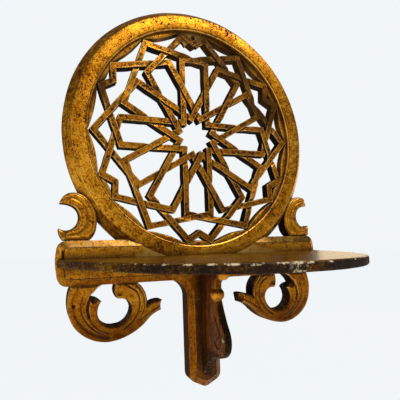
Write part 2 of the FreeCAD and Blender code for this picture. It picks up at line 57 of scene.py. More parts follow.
# Each painted highlight line is its radius, half its width and its strength.
HIGHLIGHT_LINES = ((166.7, 0.7, 0.55), (188.1, 0.6, 0.3))
SECTION_SPACING = 1.6
MERGE = 0.01 * MM
SEGMENT_STEPS = 110
RING_CRISP_DEG = 28
WORN_FROM = 9 * MM
FACE_WAVE, FACE_GRAIN, TURNED_RIDGE = 0.3, 0.12, 0.1
EDGE_WAVE, EDGE_GRAIN = 0.45, 0.15
JOINT_DIRT = (0.06, 0.018, 0.003, 1)
LINE_HIGHLIGHT = (0.95, 0.66, 0.22, 1)


def in_hand(piece):
    """The named piece alone is selected and worked on."""
    bpy.ops.object.select_all(action="DESELECT")
    piece.select_set(True)
    bpy.context.view_layer.objects.active = piece


def drawn_circle(name, places):
    """A closed line through the places, as a circle whose points are moved there."""
    bpy.ops.object.select_all(action="DESELECT")
    bpy.ops.mesh.primitive_circle_add(vertices=len(places))
    line = bpy.context.object
    line.name = line.data.name = name
    for corner, place in zip(line.data.vertices, places):
        corner.co = place
    return line


def close_spaced(points, spacing):
    """The same closed line with more points, so that it can be worn and dented."""
    spaced = []
    for here, there in zip(points, points[1:] + points[:1]):
        span = math.dist(here, there)
        count = max(1, int(span / spacing))
        for step in range(count):
            spaced.append(tuple(a + (b - a) * step / count for a, b in zip(here, there)))
    return spaced


def edit_all():
    """Edit mode, with the whole piece selected."""
    bpy.ops.object.mode_set(mode="EDIT")
    bpy.ops.mesh.select_all(action="SELECT")


def close_up():
    """Every face is turned outward, and edit mode ends."""
    bpy.ops.mesh.select_all(action="SELECT")
    bpy.ops.mesh.normals_make_consistent(inside=False)
    bpy.ops.object.mode_set(mode="OBJECT")


def finished(piece, finish, crisp_deg):
    """The piece takes its finish, smooth but for edges sharper than the angle."""
    in_hand(piece)
    bpy.ops.object.shade_smooth_by_angle(angle=math.radians(crisp_deg))
    piece.data.materials.append(finish)


def doubled(piece, name):
    """A copy of the piece with a shape of its own."""
    twin = piece.copy()
    twin.data = piece.data.copy()
    twin.name = twin.data.name = name
    bpy.context.scene.collection.objects.link(twin)
    return twin


def turned(name, section, steps, angle):
    """The section, as radii and heights above the wall, is turned about the middle of the frame."""
    line = drawn_circle(name, [(radius * MM, -height * MM, RING_MIDDLE) for radius, height in section])
    edit_all()
    bpy.ops.mesh.spin(steps=steps, angle=angle, center=(0, 0, RING_MIDDLE), axis=(0, -1, 0))
    if angle < math.tau:
        bpy.ops.mesh.select_all(action="DESELECT")
        bpy.ops.mesh.select_non_manifold()
        bpy.ops.mesh.fill_holes(sides=0)
    bpy.ops.mesh.select_all(action="SELECT")
    bpy.ops.mesh.remove_doubles(threshold=MERGE)
    close_up()
    return line


def wear_ring(mesh, first_deg):
    """Old gesso isn't even: the face dips and swells, and the open joint stands a hair apart."""
    for corner in mesh.vertices:
        out = Vector((corner.co.x, corner.co.z - RING_MIDDLE))
        angle = math.degrees(math.atan2(out.y, out.x)) % 360
        near_joint = abs((angle - OPEN_JOINT_DEG + 180) % 360 - 180)
        if near_joint < JOINT_REACH_DEG:
            beside = (first_deg + RING_SEGMENT_DEG / 2 - OPEN_JOINT_DEG + 180) % 360 - 180
            angle += math.copysign(JOINT_GAP_DEG * (1 - near_joint / JOINT_REACH_DEG), beside)
        depth = -corner.co.y
        radius = out.length
        spot = Vector((corner.co.x, corner.co.z, depth)) * 35
        wave = 0.5 + 0.5 * mathutils.noise.noise(spot)
        fine = mathutils.noise.noise(spot * 6) * 0.5 + 0.5
        if depth > WORN_FROM:
            ridge = 0.5 + 0.5 * math.sin(radius / MM * 2.4 + 3 * mathutils.noise.noise(spot * 0.3))
            depth -= (FACE_WAVE * wave + FACE_GRAIN * fine + TURNED_RIDGE * ridge * wave) * MM
        if radius > FACE_RADIUS * MM:
            radius -= (EDGE_WAVE * wave + EDGE_GRAIN * fine) * MM
        turn = math.radians(angle)
        corner.co = (radius * math.cos(turn), -depth, RING_MIDDLE + radius * math.sin(turn))


# Its water gilding, which the other gilded pieces share: gold leaf over red bole and gesso on pine.
# The leaf is mottled, rubbed through, flecked, and dirty in the corners, with a highlight painted along
# its front arrises; the back is bare wood.
CLOUDS, MOTTLE, FINE, FLECKS = (20.0, 5.0, 0.6), (130.0, 5.0, 0.65), (430.0, 4.0, 0.7), (250.0, 3.0, 0.6)
LEAF = ((0.41, (0.16, 0.040, 0.002, 1)), (0.465, (0.42, 0.135, 0.004, 1)),
        (0.52, (0.72, 0.29, 0.010, 1)), (0.59, (0.95, 0.52, 0.06, 1)))
PINE = ((0.42, (0.060, 0.030, 0.013, 1)), (0.58, (0.21, 0.12, 0.055, 1)))
WARM_LEAF = (0.22, 0.048, 0.002, 1)
BARED_BOLE = (0.11, 0.022, 0.003, 1)
OLD_DIRT = (0.009, 0.004, 0.0015, 1)
ARRIS_HIGHLIGHT = (0.95, 0.58, 0.13, 1)
CORNER_REACH = 16 * MM
GILT_SHEEN = 0.1
NUMBER, COLOUR = "NodeSocketFloat", "NodeSocketColor"


class Flow:
    """A value that runs through a node tree, worked on with plain arithmetic."""

    def __init__(self, tree, socket):
        self.tree = tree
        self.socket = socket

    def feed(self, slot):
        self.tree.links.new(self.socket, slot)

    def worked(self, operation, *sources):
        node = self.tree.nodes.new("ShaderNodeMath")
        node.operation = operation
        for slot, source in zip(node.inputs, sources):
            if isinstance(source, Flow):
                source.feed(slot)
            else:
                slot.default_value = source
        return Flow(self.tree, node.outputs[0])

    def __add__(self, other):
        return self.worked("ADD", self, other)

    def __sub__(self, other):
        return self.worked("SUBTRACT", self, other)

    def __rsub__(self, other):
        return self.worked("SUBTRACT", other, self)

    def __mul__(self, other):
        return self.worked("MULTIPLY", self, other)

    def __truediv__(self, other):
        return self.worked("DIVIDE", self, other)

    def at_least(self, other):
        return self.worked("MAXIMUM", self, other)

    def size(self):
        return self.worked("ABSOLUTE", self)

    def kept(self):
        """Kept between nothing and full."""
        self.socket.node.use_clamp = True
        return self

    def parts(self):
        """The x, y and z of a vector."""
        node = self.tree.nodes.new("ShaderNodeSeparateXYZ")
        self.feed(node.inputs[0])
        return [Flow(self.tree, part) for part in node.outputs]


def coordinates(tree):
    """Where a point lies on the stand, and which way it faces."""
    made = tree.nodes.new("ShaderNodeTexCoord").outputs
    return Flow(tree, made["Object"]), Flow(tree, made["Normal"])


def rise(value, start, gain):
    """A mask that is empty up to the start and grows by the gain after it."""
    return ((value - start) * gain).kept()


def noise(where, scale, detail, roughness):
    node = where.tree.nodes.new("ShaderNodeTexNoise")
    for name, value in (("Scale", scale), ("Detail", detail), ("Roughness", roughness)):
        node.inputs[name].default_value = value
    where.feed(node.inputs["Vector"])
    return Flow(where.tree, node.outputs["Fac"])


def ramp(source, stops):
    node = source.tree.nodes.new("ShaderNodeValToRGB")
    source.feed(node.inputs[0])
    ends = node.color_ramp.elements
    ends[0].position, ends[0].color = stops[0]
    ends[1].position, ends[1].color = stops[-1]
    for place, colour in stops[1:-1]:
        ends.new(place).color = colour
    return Flow(source.tree, node.outputs[0])


def blend(share, under, over):
    node = share.tree.nodes.new("ShaderNodeMix")
    node.data_type = "RGBA"
    for index, source in ((0, share), (6, under), (7, over)):
        if isinstance(source, Flow):
            source.feed(node.inputs[index])
        else:
            node.inputs[index].default_value = source
    return Flow(share.tree, node.outputs[2])


def raise_relief(height, strength, distance, shader):
    """The height stands out of the surface as a fine relief."""
    node = height.tree.nodes.new("ShaderNodeBump")
    node.inputs["Strength"].default_value = strength
    node.inputs["Distance"].default_value = distance
    height.feed(node.inputs["Height"])
    height.tree.links.new(node.outputs["Normal"], shader.inputs["Normal"])


def new_group(name, takes, gives):
    """A node group, what it takes as flows, and the slots of what it gives."""
    group = bpy.data.node_groups.new(name, "ShaderNodeTree")
    for title, kind, value in takes:
        group.interface.new_socket(name=title, socket_type=kind, in_out="INPUT").default_value = value
    for title, kind in gives:
        group.interface.new_socket(name=title, socket_type=kind, in_out="OUTPUT")
    ins = group.nodes.new("NodeGroupInput").outputs
    flows = {title: Flow(group, ins[title]) for title, _, _ in takes}
    return group, flows, group.nodes.new("NodeGroupOutput").inputs


def gilding_group():
    group, ins, outs = new_group(
        "gilding_wear_and_highlight",
        (("Rub", NUMBER, 0.35), ("Dirt", NUMBER, 0.8), ("Specks", NUMBER, 0.5),
         ("Warmth", NUMBER, 0.3), ("Sides", NUMBER, 0.8), ("Edge", NUMBER, 0.5)),
        (("Color", COLOUR), ("Roughness", NUMBER), ("Metallic", NUMBER), ("Height", NUMBER)))
    place, normal = coordinates(group)
    cloud, mottle, fine = noise(place, *CLOUDS), noise(place, *MOTTLE), noise(place, *FINE)
    tone = cloud * 0.22 + mottle * 0.33 + fine * 0.45 - ins["Warmth"] * 0.03
    warm = blend(ins["Warmth"], ramp(tone, LEAF), WARM_LEAF)
    rub = ((mottle * 0.5 + fine * 0.5 - (0.64 - ins["Rub"] * 0.16)) * 16.0).kept()
    bared = blend(rub * 0.85, warm, BARED_BOLE)
    occluded = group.nodes.new("ShaderNodeAmbientOcclusion")
    occluded.samples = 6
    occluded.inputs["Distance"].default_value = CORNER_REACH
    corner = (1.0 - Flow(group, occluded.outputs["AO"])) * (mottle + 0.6)
    flecks = noise(place, *FLECKS) - (cloud - 0.5) * 0.45 - (0.70 - ins["Specks"] * 0.14)
    flecks = (flecks * 16.0).kept()
    facing = normal.parts()[1]
    side = ((0.45 - facing.size()) * 5.0).kept() * ins["Sides"]
    dirt = (rise(corner, 0.10, 2.0) * ins["Dirt"]).at_least(flecks * 0.88).at_least(side)
    # A highlight is painted along the pointed arrises that face forward.
    arris = Flow(group, group.nodes.new("ShaderNodeNewGeometry").outputs["Pointiness"])
    arris = rise(arris, 0.52, 16.0) * rise(facing * -1.0, 0.25, 4.0)
    arris = (arris * (ins["Edge"] * (mottle * 1.2 + 0.2))).kept()
    gilt = blend(arris, blend(dirt, bared, OLD_DIRT), ARRIS_HIGHLIGHT)
    behind = rise(facing, 0.5, 6.0)
    dull = (rub * 0.7).at_least(dirt).at_least(behind)
    blend(behind, gilt, ramp(tone, PINE)).feed(outs["Color"])
    (mottle * 0.2 + (dull * 0.5 + 0.30)).feed(outs["Roughness"])
    (1.0 - dull).kept().feed(outs["Metallic"])
    (cloud + mottle * 0.35 + fine * 0.10 - flecks * 0.12).feed(outs["Height"])
    return group


gilt_wear_and_highlight = gilding_group()


def new_finish(name, sheen):
    """A finish and its shader; the sheen is how strongly it reflects."""
    material = bpy.data.materials.new(name)
    material.use_nodes = True
    shader = material.node_tree.nodes["Principled BSDF"]
    shader.inputs["Specular IOR Level"].default_value = sheen
    return material, shader


def gilded(name, rub, dirt, specks, warmth, sides, edge):
    """Gilding: how rubbed, dirty, flecked and red it is, how dark its sides, how strong the highlight
    painted on its arrises.
    """
    material, shader = new_finish(name, GILT_SHEEN)
    tree = material.node_tree
    coat = tree.nodes.new("ShaderNodeGroup")
    coat.name = "gilding"
    coat.node_tree = gilt_wear_and_highlight
    for slot, value in zip(coat.inputs, (rub, dirt, specks, warmth, sides, edge)):
        slot.default_value = value
    for given, slot in (("Color", "Base Color"), ("Roughness", "Roughness"), ("Metallic", "Metallic")):
        tree.links.new(coat.outputs[given], shader.inputs[slot])
    raise_relief(Flow(tree, coat.outputs["Height"]), 0.5, 1.2 * MM, shader)
    return material


def stain(material, mask, colour, gilt=False):
    """The masked part takes another colour, and is dull unless it's still gilt."""
    inputs = material.node_tree.nodes["Principled BSDF"].inputs
    before = {name: Flow(mask.tree, inputs[name].links[0].from_socket)
              for name in ("Base Color", "Metallic", "Roughness")}
    blend(mask, before["Base Color"], colour).feed(inputs["Base Color"])
    if not gilt:
        (before["Metallic"] * (1.0 - mask).kept()).feed(inputs["Metallic"])
        before["Roughness"].at_least(mask * 0.95).feed(inputs["Roughness"])


def streak_ring(material):
    """Streaks from the turning, the dark open joint, and highlight lines painted on the lip and the bevel
    edge.
    """
    where, _ = coordinates(material.node_tree)
    across, _, level = where.parts()
    height = level - RING_MIDDLE
    square = across * across + height * height
    radius = square.worked("SQRT", square)
    angle = height.worked("ARCTAN2", height, across)
    unrolled = where.tree.nodes.new("ShaderNodeCombineXYZ")
    (radius * 700.0).feed(unrolled.inputs[0])
    (angle * 5.0).feed(unrolled.inputs[1])
    streaks = noise(Flow(where.tree, unrolled.outputs[0]), 1.0, 4.0, 0.6)
    patches = noise(where, 60.0, 5.0, 0.65)
    dark = (rise(streaks, 0.49, 9.0) * rise(patches, 0.43, 7.0)).kept()
    on_bevel = radius.worked("GREATER_THAN", radius, BEVEL_EDGE * MM)
    from_joint = (angle - math.radians(OPEN_JOINT_DEG)).size() * (FACE_RADIUS / JOINT_LINE)
    joint = (1.0 - from_joint).kept() * 0.8
    stain(material, (dark * (on_bevel * 0.4 + 0.5)).at_least(joint), JOINT_DIRT, True)
    # Highlights are painted as bright lines along the lip and the bevel edge.
    lines = None
    for middle, width, strength in HIGHLIGHT_LINES:
        near = (1.0 - (radius - middle * MM).size() / (width * MM)).kept() * strength
        lines = lines.at_least(near) if lines else near
    stain(material, (lines * (patches * 1.7)).kept(), LINE_HIGHLIGHT, True)


frame_gilding = gilded("frame_gilding", 0.5, 0.8, 0.75, 0.0, 0.35, 0.7)
for name, piece in nodes.items():
    piece.data.materials.clear()
    piece.data.materials.append(frame_gilding)

ring_gilding = gilded("ring_gilding", 0.5, 0.8, 0.7, 0.0, 0.35, 0.0)
streak_ring(ring_gilding)
first_segment = turned("ring_segment", close_spaced(RING_SECTION, SECTION_SPACING), SEGMENT_STEPS,
                       math.radians(RING_SEGMENT_DEG))
upright = Matrix.Translation((0, 0, RING_MIDDLE))
for number in range(6):
    segment = doubled(first_segment, "gilded_ring_segment_%d" % (number + 1))
    start_deg = OPEN_JOINT_DEG + number * RING_SEGMENT_DEG
    turn = Matrix.Rotation(-math.radians(start_deg), 4, "Y")
    segment.data.transform(upright @ turn @ upright.inverted())
    wear_ring(segment.data, start_deg)
    finished(segment, ring_gilding, RING_CRISP_DEG)
    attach(segment, "root")
    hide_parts("ring_segment_%d" % (number + 1))
bpy.data.objects.remove(first_segment)

# The pierced rosette. One board is fretted out so that a single endless strap folds round twelve
# petals, and the carver then lowers it wherever it passes under itself. Gilded wood, 13.5 mm thick.
STRAP_HALF = 4.5 * MM
STRAP_BACK = 5.0 * MM
STRAP_FACE = 18.5 * MM
STRAP_DIP = 2.7 * MM
STRAP_RAMP = 4.0 * MM
STRAP_SLACK = 0.3 * MM
ROW_SPACING = 1.8 * MM
WANDER = 0.5 * MM
PETALS = 12
TURN_DEG = 150
PETAL_HALF = 20.2 * MM
PETAL_END = 118.6 * MM
LONE_TIP = 157.8 * MM
TWIN_TIPS, TWIN_NOTCH, TWIN_DEG = 159.5 * MM, 147.3 * MM, 6.5
# Across the strap: which side, how far in from it, and how far below the face, or None for the back.
STRAP_SECTION = (
    (1, 0, None), (1, 0, 2.6), (1, 0, 0.8), (1, 0.7, 0), (1, 2.1, 0.1), (0, 0, 0),
    (-1, 2.1, 0.1), (-1, 0.7, 0), (-1, 0, 0.8), (-1, 0, 2.6), (-1, 0, None))


def around(radius, degrees):
    return Vector((math.cos(math.radians(degrees)), math.sin(math.radians(degrees)))) * radius


def petal_corners(axis, side):
    inner = around(PETAL_HALF * math.sqrt(2.0), axis + side * 45)
    return inner, around(PETAL_END, axis) + around(PETAL_HALF, axis + side * 90)


def strap_folds():
    folds = []
    for turn in range(PETALS):
        axis = turn * TURN_DEG % 360
        folds += petal_corners(axis - 360 / PETALS, -1)
        if axis % 60:
            folds += [around(TWIN_TIPS, axis - TWIN_DEG), around(TWIN_NOTCH, axis),
                      around(TWIN_TIPS, axis + TWIN_DEG)]
        else:
            folds.append(around(LONE_TIP, axis))
        folds.append(petal_corners(axis + 360 / PETALS, 1)[1])
    return folds


def meet(a, b, c, d):
    along, other, gap = b - a, d - c, c - a
    cross = along.x * other.y - along.y * other.x
    if abs(cross) < 1e-12:
        return None
    first = (gap.x * other.y - gap.y * other.x) / cross
    second = (gap.x * along.y - gap.y * along.x) / cross
    return (first, second) if 0 < first < 1 and 0 < second < 1 else None


def strap_is_over(runs, a, b, where):
    along = (b - a).normalized()
    spot = a + (b - a) * where - along * 0.0004 + Vector((-along.y, along.x)) * 0.0002
    far = spot + Vector((1.0, 0.0137))
    return sum(1 for c, d in runs if meet(spot, far, c, d)) % 2 == 0


def strap_rows(folds):
    count = len(folds)
    runs = [(folds[i], folds[(i + 1) % count]) for i in range(count)]
    mitres = []
    for i in range(count):
        before = (folds[i] - folds[i - 1]).normalized()
        after = (folds[(i + 1) % count] - folds[i]).normalized()
        side = Vector((-before.y - after.y, before.x + after.x)).normalized()
        mitres.append(side * (STRAP_HALF / side.dot(Vector((-before.y, before.x)))))
    rows = []
    for i, (a, b) in enumerate(runs):
        along = (b - a).normalized()
        across = Vector((-along.y, along.x))
        over_lines = []
        for j, (c, d) in enumerate(runs):
            hit = meet(a, b, c, d) if abs(i - j) not in (0, 1, count - 1) else None
            if hit and not strap_is_over(runs, a, b, hit[0]):
                over_lines.append((c, (d - c).normalized()))
        steps = max(2, int((b - a).length / ROW_SPACING))
        for step in range(steps):
            t = step / steps
            row = []
            for side in (1, -1):
                edge = (a + mitres[i] * side).lerp(b + mitres[(i + 1) % count] * side, t)
                wander = mathutils.noise.noise(Vector((edge.x, edge.y, side)) * 70.0) * WANDER
                row.append((edge + across * wander * side, across * side, over_lines))
            rows.append(row)
    return rows


def strap_height(point, over_lines):
    dip = 0.0
    for start, along in over_lines:
        away = point - start
        away = abs(away.x * along.y - away.y * along.x)
        near = min(1.0, max(0.0, 1.0 - (away - STRAP_HALF - STRAP_SLACK) / STRAP_RAMP))
        dip = max(dip, near * near * (3 - 2 * near))
    uneven = mathutils.noise.noise(Vector((point.x, point.y, 3.0)) * 60.0) * STRAP_SLACK
    return STRAP_FACE - STRAP_SLACK + uneven - STRAP_DIP * dip


def carve_straps():
    mesh = bpy.data.meshes.new("rosette_straps")
    shape = bmesh.new()
    rings = []
    for (left, _, lines), (right, _, _) in strap_rows(strap_folds()):
        middle = (left + right) / 2
        section = []
        for side, inset, drop in STRAP_SECTION:
            point = {1: left, 0: middle, -1: right}[side]
            spot = point + (middle - point).normalized() * (inset * MM)
            depth = STRAP_BACK if drop is None else strap_height(spot, lines) - drop * MM
            section.append(shape.verts.new((spot.x, -depth, spot.y + RING_MIDDLE)))
        rings.append(section)
    for here, there in zip(rings, rings[1:] + rings[:1]):
        for index in range(len(here)):
            shape.faces.new((here[index], here[index - 1], there[index - 1], there[index]))
    bmesh.ops.recalc_face_normals(shape, faces=shape.faces)
    shape.to_mesh(mesh)
    shape.free()
    piece = bpy.data.objects.new("rosette_straps", mesh)
    bpy.context.scene.collection.objects.link(piece)
    return piece


rosette_straps = carve_straps()

# The rosette's rim lies under the frame's lip. Its inner edge is fretted with the windows, so it
# is widest in the middle of each window and runs out at the tips of the strap.
RIM_SECTION = (
    (173.8, 5.0), (173.8, 16.9), (167.0, 17.0), (161.0, 17.0), (159.2, 16.6), (158.4, 15.6),
    (158.25, 14.0), (158.25, 6.0), (158.8, 5.0))
RIM_EDGE = 167 * MM
RIM_WIDTH = 9 * MM
RIM_STEPS = 480
RIM_UNEVEN = 0.6 * MM
RIM_DENTS = 0.4 * MM
RIM_FACE = 15 * MM
TIP_DEGS = [turn + tip for turn in range(0, 360, 60)
            for tip in (0, 30 - TWIN_DEG, 30 + TWIN_DEG)] + [360]
rosette_rim = turned("rosette_rim", close_spaced(RIM_SECTION, SECTION_SPACING), RIM_STEPS, math.tau)
for corner in rosette_rim.data.vertices:
    out = Vector((corner.co.x, corner.co.z - RING_MIDDLE))
    angle = math.degrees(math.atan2(out.y, out.x)) % 360
    window = max(i for i, tip in enumerate(TIP_DEGS[:-1]) if tip <= angle)
    share = (angle - TIP_DEGS[window]) / (TIP_DEGS[window + 1] - TIP_DEGS[window])
    width = 0.1 + 0.9 * math.sin(math.pi * share) ** 0.7
    radius = out.length
    if radius < RIM_EDGE:
        uneven = mathutils.noise.noise(Vector((corner.co.x, corner.co.z, 9.0)) * 60) * RIM_UNEVEN
        radius = RIM_EDGE - (RIM_EDGE - radius) * (width - uneven / RIM_WIDTH)
    out = out.normalized() * radius
    dent = (0.5 + 0.5 * mathutils.noise.noise(corner.co * 90)) * RIM_DENTS
    deep = corner.co.y + dent if corner.co.y < -RIM_FACE else corner.co.y
    corner.co = (out.x, deep, out.y + RING_MIDDLE)

# The top notch is left solid round the hanging hole, with three small teeth along its lower
# edge. The wood is thinned from behind, so the wall shows through the hole.
TAB_OUTLINE = [(-25, 338), (-24, 333), (-18.5, 326), (-14.5, 320.2), (-8.5, 326.5), (-3.6, 323.5),
               (0.1, 329), (5.6, 320.3), (12, 326), (19, 330), (24, 333), (25, 338), (14, 343.5),
               (0, 345), (-14, 343.5)]
TAB_BACK, TAB_FRONT = 12.5, 17.0
HOLE_MIDDLE = Vector((0, 337))
HOLE_RADIUS = 3.5
HOLE_SIDES = 32
BORE_REACH = 30


def sawn(name, places, run):
    """A board: the outline through the places, made solid along the run."""
    board = drawn_circle(name, places)
    edit_all()
    bpy.ops.mesh.edge_face_add()
    bpy.ops.mesh.extrude_region_move(TRANSFORM_OT_translate={"value": run})
    close_up()
    return board


def wall_board(name, points, back, front):
    """A board of the outline drawn on the wall, from back to front, all in millimetres."""
    return sawn(name, [(x * MM, -front * MM, z * MM) for x, z in points], (0, (front - back) * MM, 0))


def cut_away(piece, cutter):
    """The cutter's space is taken out of the piece, and the cutter is put away."""
    in_hand(piece)
    cut = piece.modifiers.new("cut", "BOOLEAN")
    cut.operation = "DIFFERENCE"
    cut.solver = "EXACT"
    cut.object = cutter
    bpy.ops.object.modifier_apply(modifier=cut.name)
    bpy.data.objects.remove(cutter)


hanging_tab = wall_board("hanging_tab", TAB_OUTLINE, TAB_BACK, TAB_FRONT)
bore = [HOLE_MIDDLE + around(HOLE_RADIUS, side * 360 / HOLE_SIDES) for side in range(HOLE_SIDES)]
cut_away(hanging_tab, wall_board("bore", bore, 0, BORE_REACH))

# The whole rosette is gilded. The upper right of the lattice, the wood round the hanging hole, and the rim
# at the left are painted darker in patches.
DARKER_PATCHES = (((0.060, -0.018, 0.305), 0.085), ((0.0, -0.018, 0.332), 0.06), ((0.125, -0.018, 0.235), 0.05),
        ((-0.160, -0.018, 0.240), 0.04), ((0.0, -0.018, 0.325), 0.03))
PATCH_BROWN = (0.055, 0.020, 0.002, 1)
ROSETTE_CRISP_DEG = 40


def spots(material, places, gain=1.0):
    """A mask that is full at each place and gone at its reach."""
    where, _ = coordinates(material.node_tree)
    mask = None
    for middle, reach in places:
        away = where.tree.nodes.new("ShaderNodeVectorMath")
        away.operation = "DISTANCE"
        away.inputs[1].default_value = middle
        where.feed(away.inputs[0])
        patch = (1.0 - Flow(where.tree, away.outputs["Value"]) / reach).kept()
        mask = mask.at_least(patch) if mask else patch
    return (mask * gain).kept()


rosette_gilding = gilded("rosette_gilding", 1.0, 1.0, 1.2, 0.05, 1.0, 1.6)
# Patches placed at the darker parts are painted a dark brown.
cloudy = noise(coordinates(rosette_gilding.node_tree)[0], 70.0, 5.0, 0.7)
stain(rosette_gilding, (spots(rosette_gilding, DARKER_PATCHES) * (cloudy * 3.6)).kept() * 0.9, PATCH_BROWN, True)
rim_gilding = gilded("rim_gilding", 0.5, 0.9, 0.8, 0.1, 0.35, 0.6)
stain(rim_gilding, (spots(rim_gilding, DARKER_PATCHES) * 1.4).kept(), PATCH_BROWN, True)
for piece, finish in ((rosette_straps, rosette_gilding), (rosette_rim, rim_gilding),
                      (hanging_tab, rosette_gilding)):
    finished(piece, finish, ROSETTE_CRISP_DEG)
    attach(piece, "root")
    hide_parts("rosette_panel")

# Crossbar and stem. Both are one T-shaped board in the front view, 24 mm thick, with a wide bevel
# run round the front and a fine line cut along its inner edge. The ring is let in from the front.
PLATE_FRONT = 24.0
PLATE_BODY = 18.6
PLATE_CORNERS = (
    (206.0, 24.0, 11.0), (210.0, -4.0, 8.0), (206.0, -36.0, 11.0), (24.5, -36.0, 25.0),
    (24.5, -179.0, 7.0), (0.0, -191.0, 5.5), (-24.5, -179.0, 7.0), (-24.5, -36.0, 25.0),
    (-206.0, -36.0, 11.0), (-210.0, -4.0, 8.0), (-206.0, 24.0, 11.0))
STEM_TOP = -61.0
# Each step of the moulding is how far in from the edge and how far forward.
MOULDING = ((0.5, 0.4), (7.9, 4.3), (0.5, 0.5), (0.4, -0.6), (0.4, 0.1), (0.5, 0.7), (0.6, 0.1))
SEAT_SECTION = ((0.0, -1.0), (200.0, -1.0), (200.0, 11.0), (188.0, 22.5), (188.0, 30.0), (0.0, 30.0))
SEAT_STEPS = 240
PLATE_CRISP_DEG = 30
LEFT_GROOVE, LEFT_ARRIS = -200.2, -203.6
GESSO_DUST = (0.56, 0.38, 0.17, 1)
STREAK_BROWN = (0.07, 0.018, 0.003, 1)
SHADED_GILT = (0.09, 0.045, 0.006, 1)
STEM_FACE_SHADOW = (0.035, 0.011, 0.002, 1)
BLACK_DIRT_AND_SHADOW = (0.012, 0.006, 0.002, 1)
LIT_GOLD = (0.85, 0.52, 0.16, 1)


def arc_points(first, middle, last, spacing):
    """Points along the arc that goes through three places, without the last."""
    (ax, az), (bx, bz), (cx, cz) = first, middle, last
    twice = 2 * (ax * (bz - cz) + bx * (cz - az) + cx * (az - bz))
    a, b, c = ax * ax + az * az, bx * bx + bz * bz, cx * cx + cz * cz
    x = (a * (bz - cz) + b * (cz - az) + c * (az - bz)) / twice
    z = (a * (cx - bx) + b * (ax - cx) + c * (bx - ax)) / twice
    radius = math.hypot(ax - x, az - z)
    begin = math.atan2(az - z, ax - x)
    half = (math.atan2(bz - z, bx - x) - begin) % math.tau
    sweep = (math.atan2(cz - z, cx - x) - begin) % math.tau
    if half > sweep:
        sweep -= math.tau
    count = max(2, round(abs(sweep) * radius / spacing))
    return [(x + radius * math.cos(begin + sweep * i / count),
             z + radius * math.sin(begin + sweep * i / count)) for i in range(count)]


def drawn_outline(start, steps, spacing):
    """Points along a run of lines, one place each, and arcs, a middle and an end each."""
    points = []
    here = start
    for step in steps:
        if len(step) == 2:
            points += arc_points(here, step[0], step[1], spacing)
        else:
            count = max(1, round(math.dist(here, step[0]) / spacing))
            points += [(here[0] + (step[0][0] - here[0]) * i / count,
                        here[1] + (step[0][1] - here[1]) * i / count) for i in range(count)]
        here = step[-1]
    return points


def eased_corners(corners):
    """Lines and arcs round corners that are each given as x, z and the length of the easing."""
    steps = []
    for index, (x, z, easing) in enumerate(corners):
        here = Vector((x, z))
        toward = [(Vector(corners[other][:2]) - here).normalized()
                  for other in (index - 1, (index + 1) % len(corners))]
        half = toward[0].angle(toward[1]) / 2
        setback = easing * (1 - math.sin(half)) / math.cos(half)
        steps.append((tuple(here + toward[0] * easing),))
        steps.append((tuple(here + (toward[0] + toward[1]).normalized() * setback),
                      tuple(here + toward[1] * easing)))
    return steps


def picked(board, kind, test):
    """Edit mode, with only those edges or faces selected that pass the test."""
    in_hand(board)
    bpy.ops.object.mode_set(mode="EDIT")
    bpy.ops.mesh.select_mode(type=kind)
    bpy.ops.mesh.select_all(action="DESELECT")
    bpy.ops.object.mode_set(mode="OBJECT")
    for part in board.data.edges if kind == "EDGE" else board.data.polygons:
        part.select = test(part)
    bpy.ops.object.mode_set(mode="EDIT")


def dust_group():
    """Pale dust and bared gesso on whatever faces up."""
    group, ins, outs = new_group(
        "settled_dust", (("Color", COLOUR, (1, 1, 1, 1)), ("Amount", NUMBER, 0.5)), (("Color", COLOUR),))
    place, normal = coordinates(group)
    lying = rise(normal.parts()[2], 0.25, 2.5)
    patches = rise(noise(place, 210.0, 5.0, 0.7), 0.45, 8.0)
    blend((lying * patches * ins["Amount"]).kept(), ins["Color"], GESSO_DUST).feed(outs["Color"])
    return group


dust = dust_group()


def dust_on(material, amount):
    tree = material.node_tree
    coat = tree.nodes.new("ShaderNodeGroup")
    coat.node_tree = dust
    coat.inputs["Amount"].default_value = amount
    colour = tree.nodes["Principled BSDF"].inputs["Base Color"]
    tree.links.new(colour.links[0].from_socket, coat.inputs["Color"])
    tree.links.new(coat.outputs["Color"], colour)


def band(value, start, end):
    """A mask that grows from nothing at the start to full at the end."""
    return ((value - start) / (end - start)).kept()


def stretched(where, scale):
    """The places drawn together by the scale, so that a noise runs in streaks."""
    node = where.tree.nodes.new("ShaderNodeMapping")
    node.inputs["Scale"].default_value = scale
    where.feed(node.inputs["Vector"])
    return Flow(where.tree, node.outputs["Vector"])


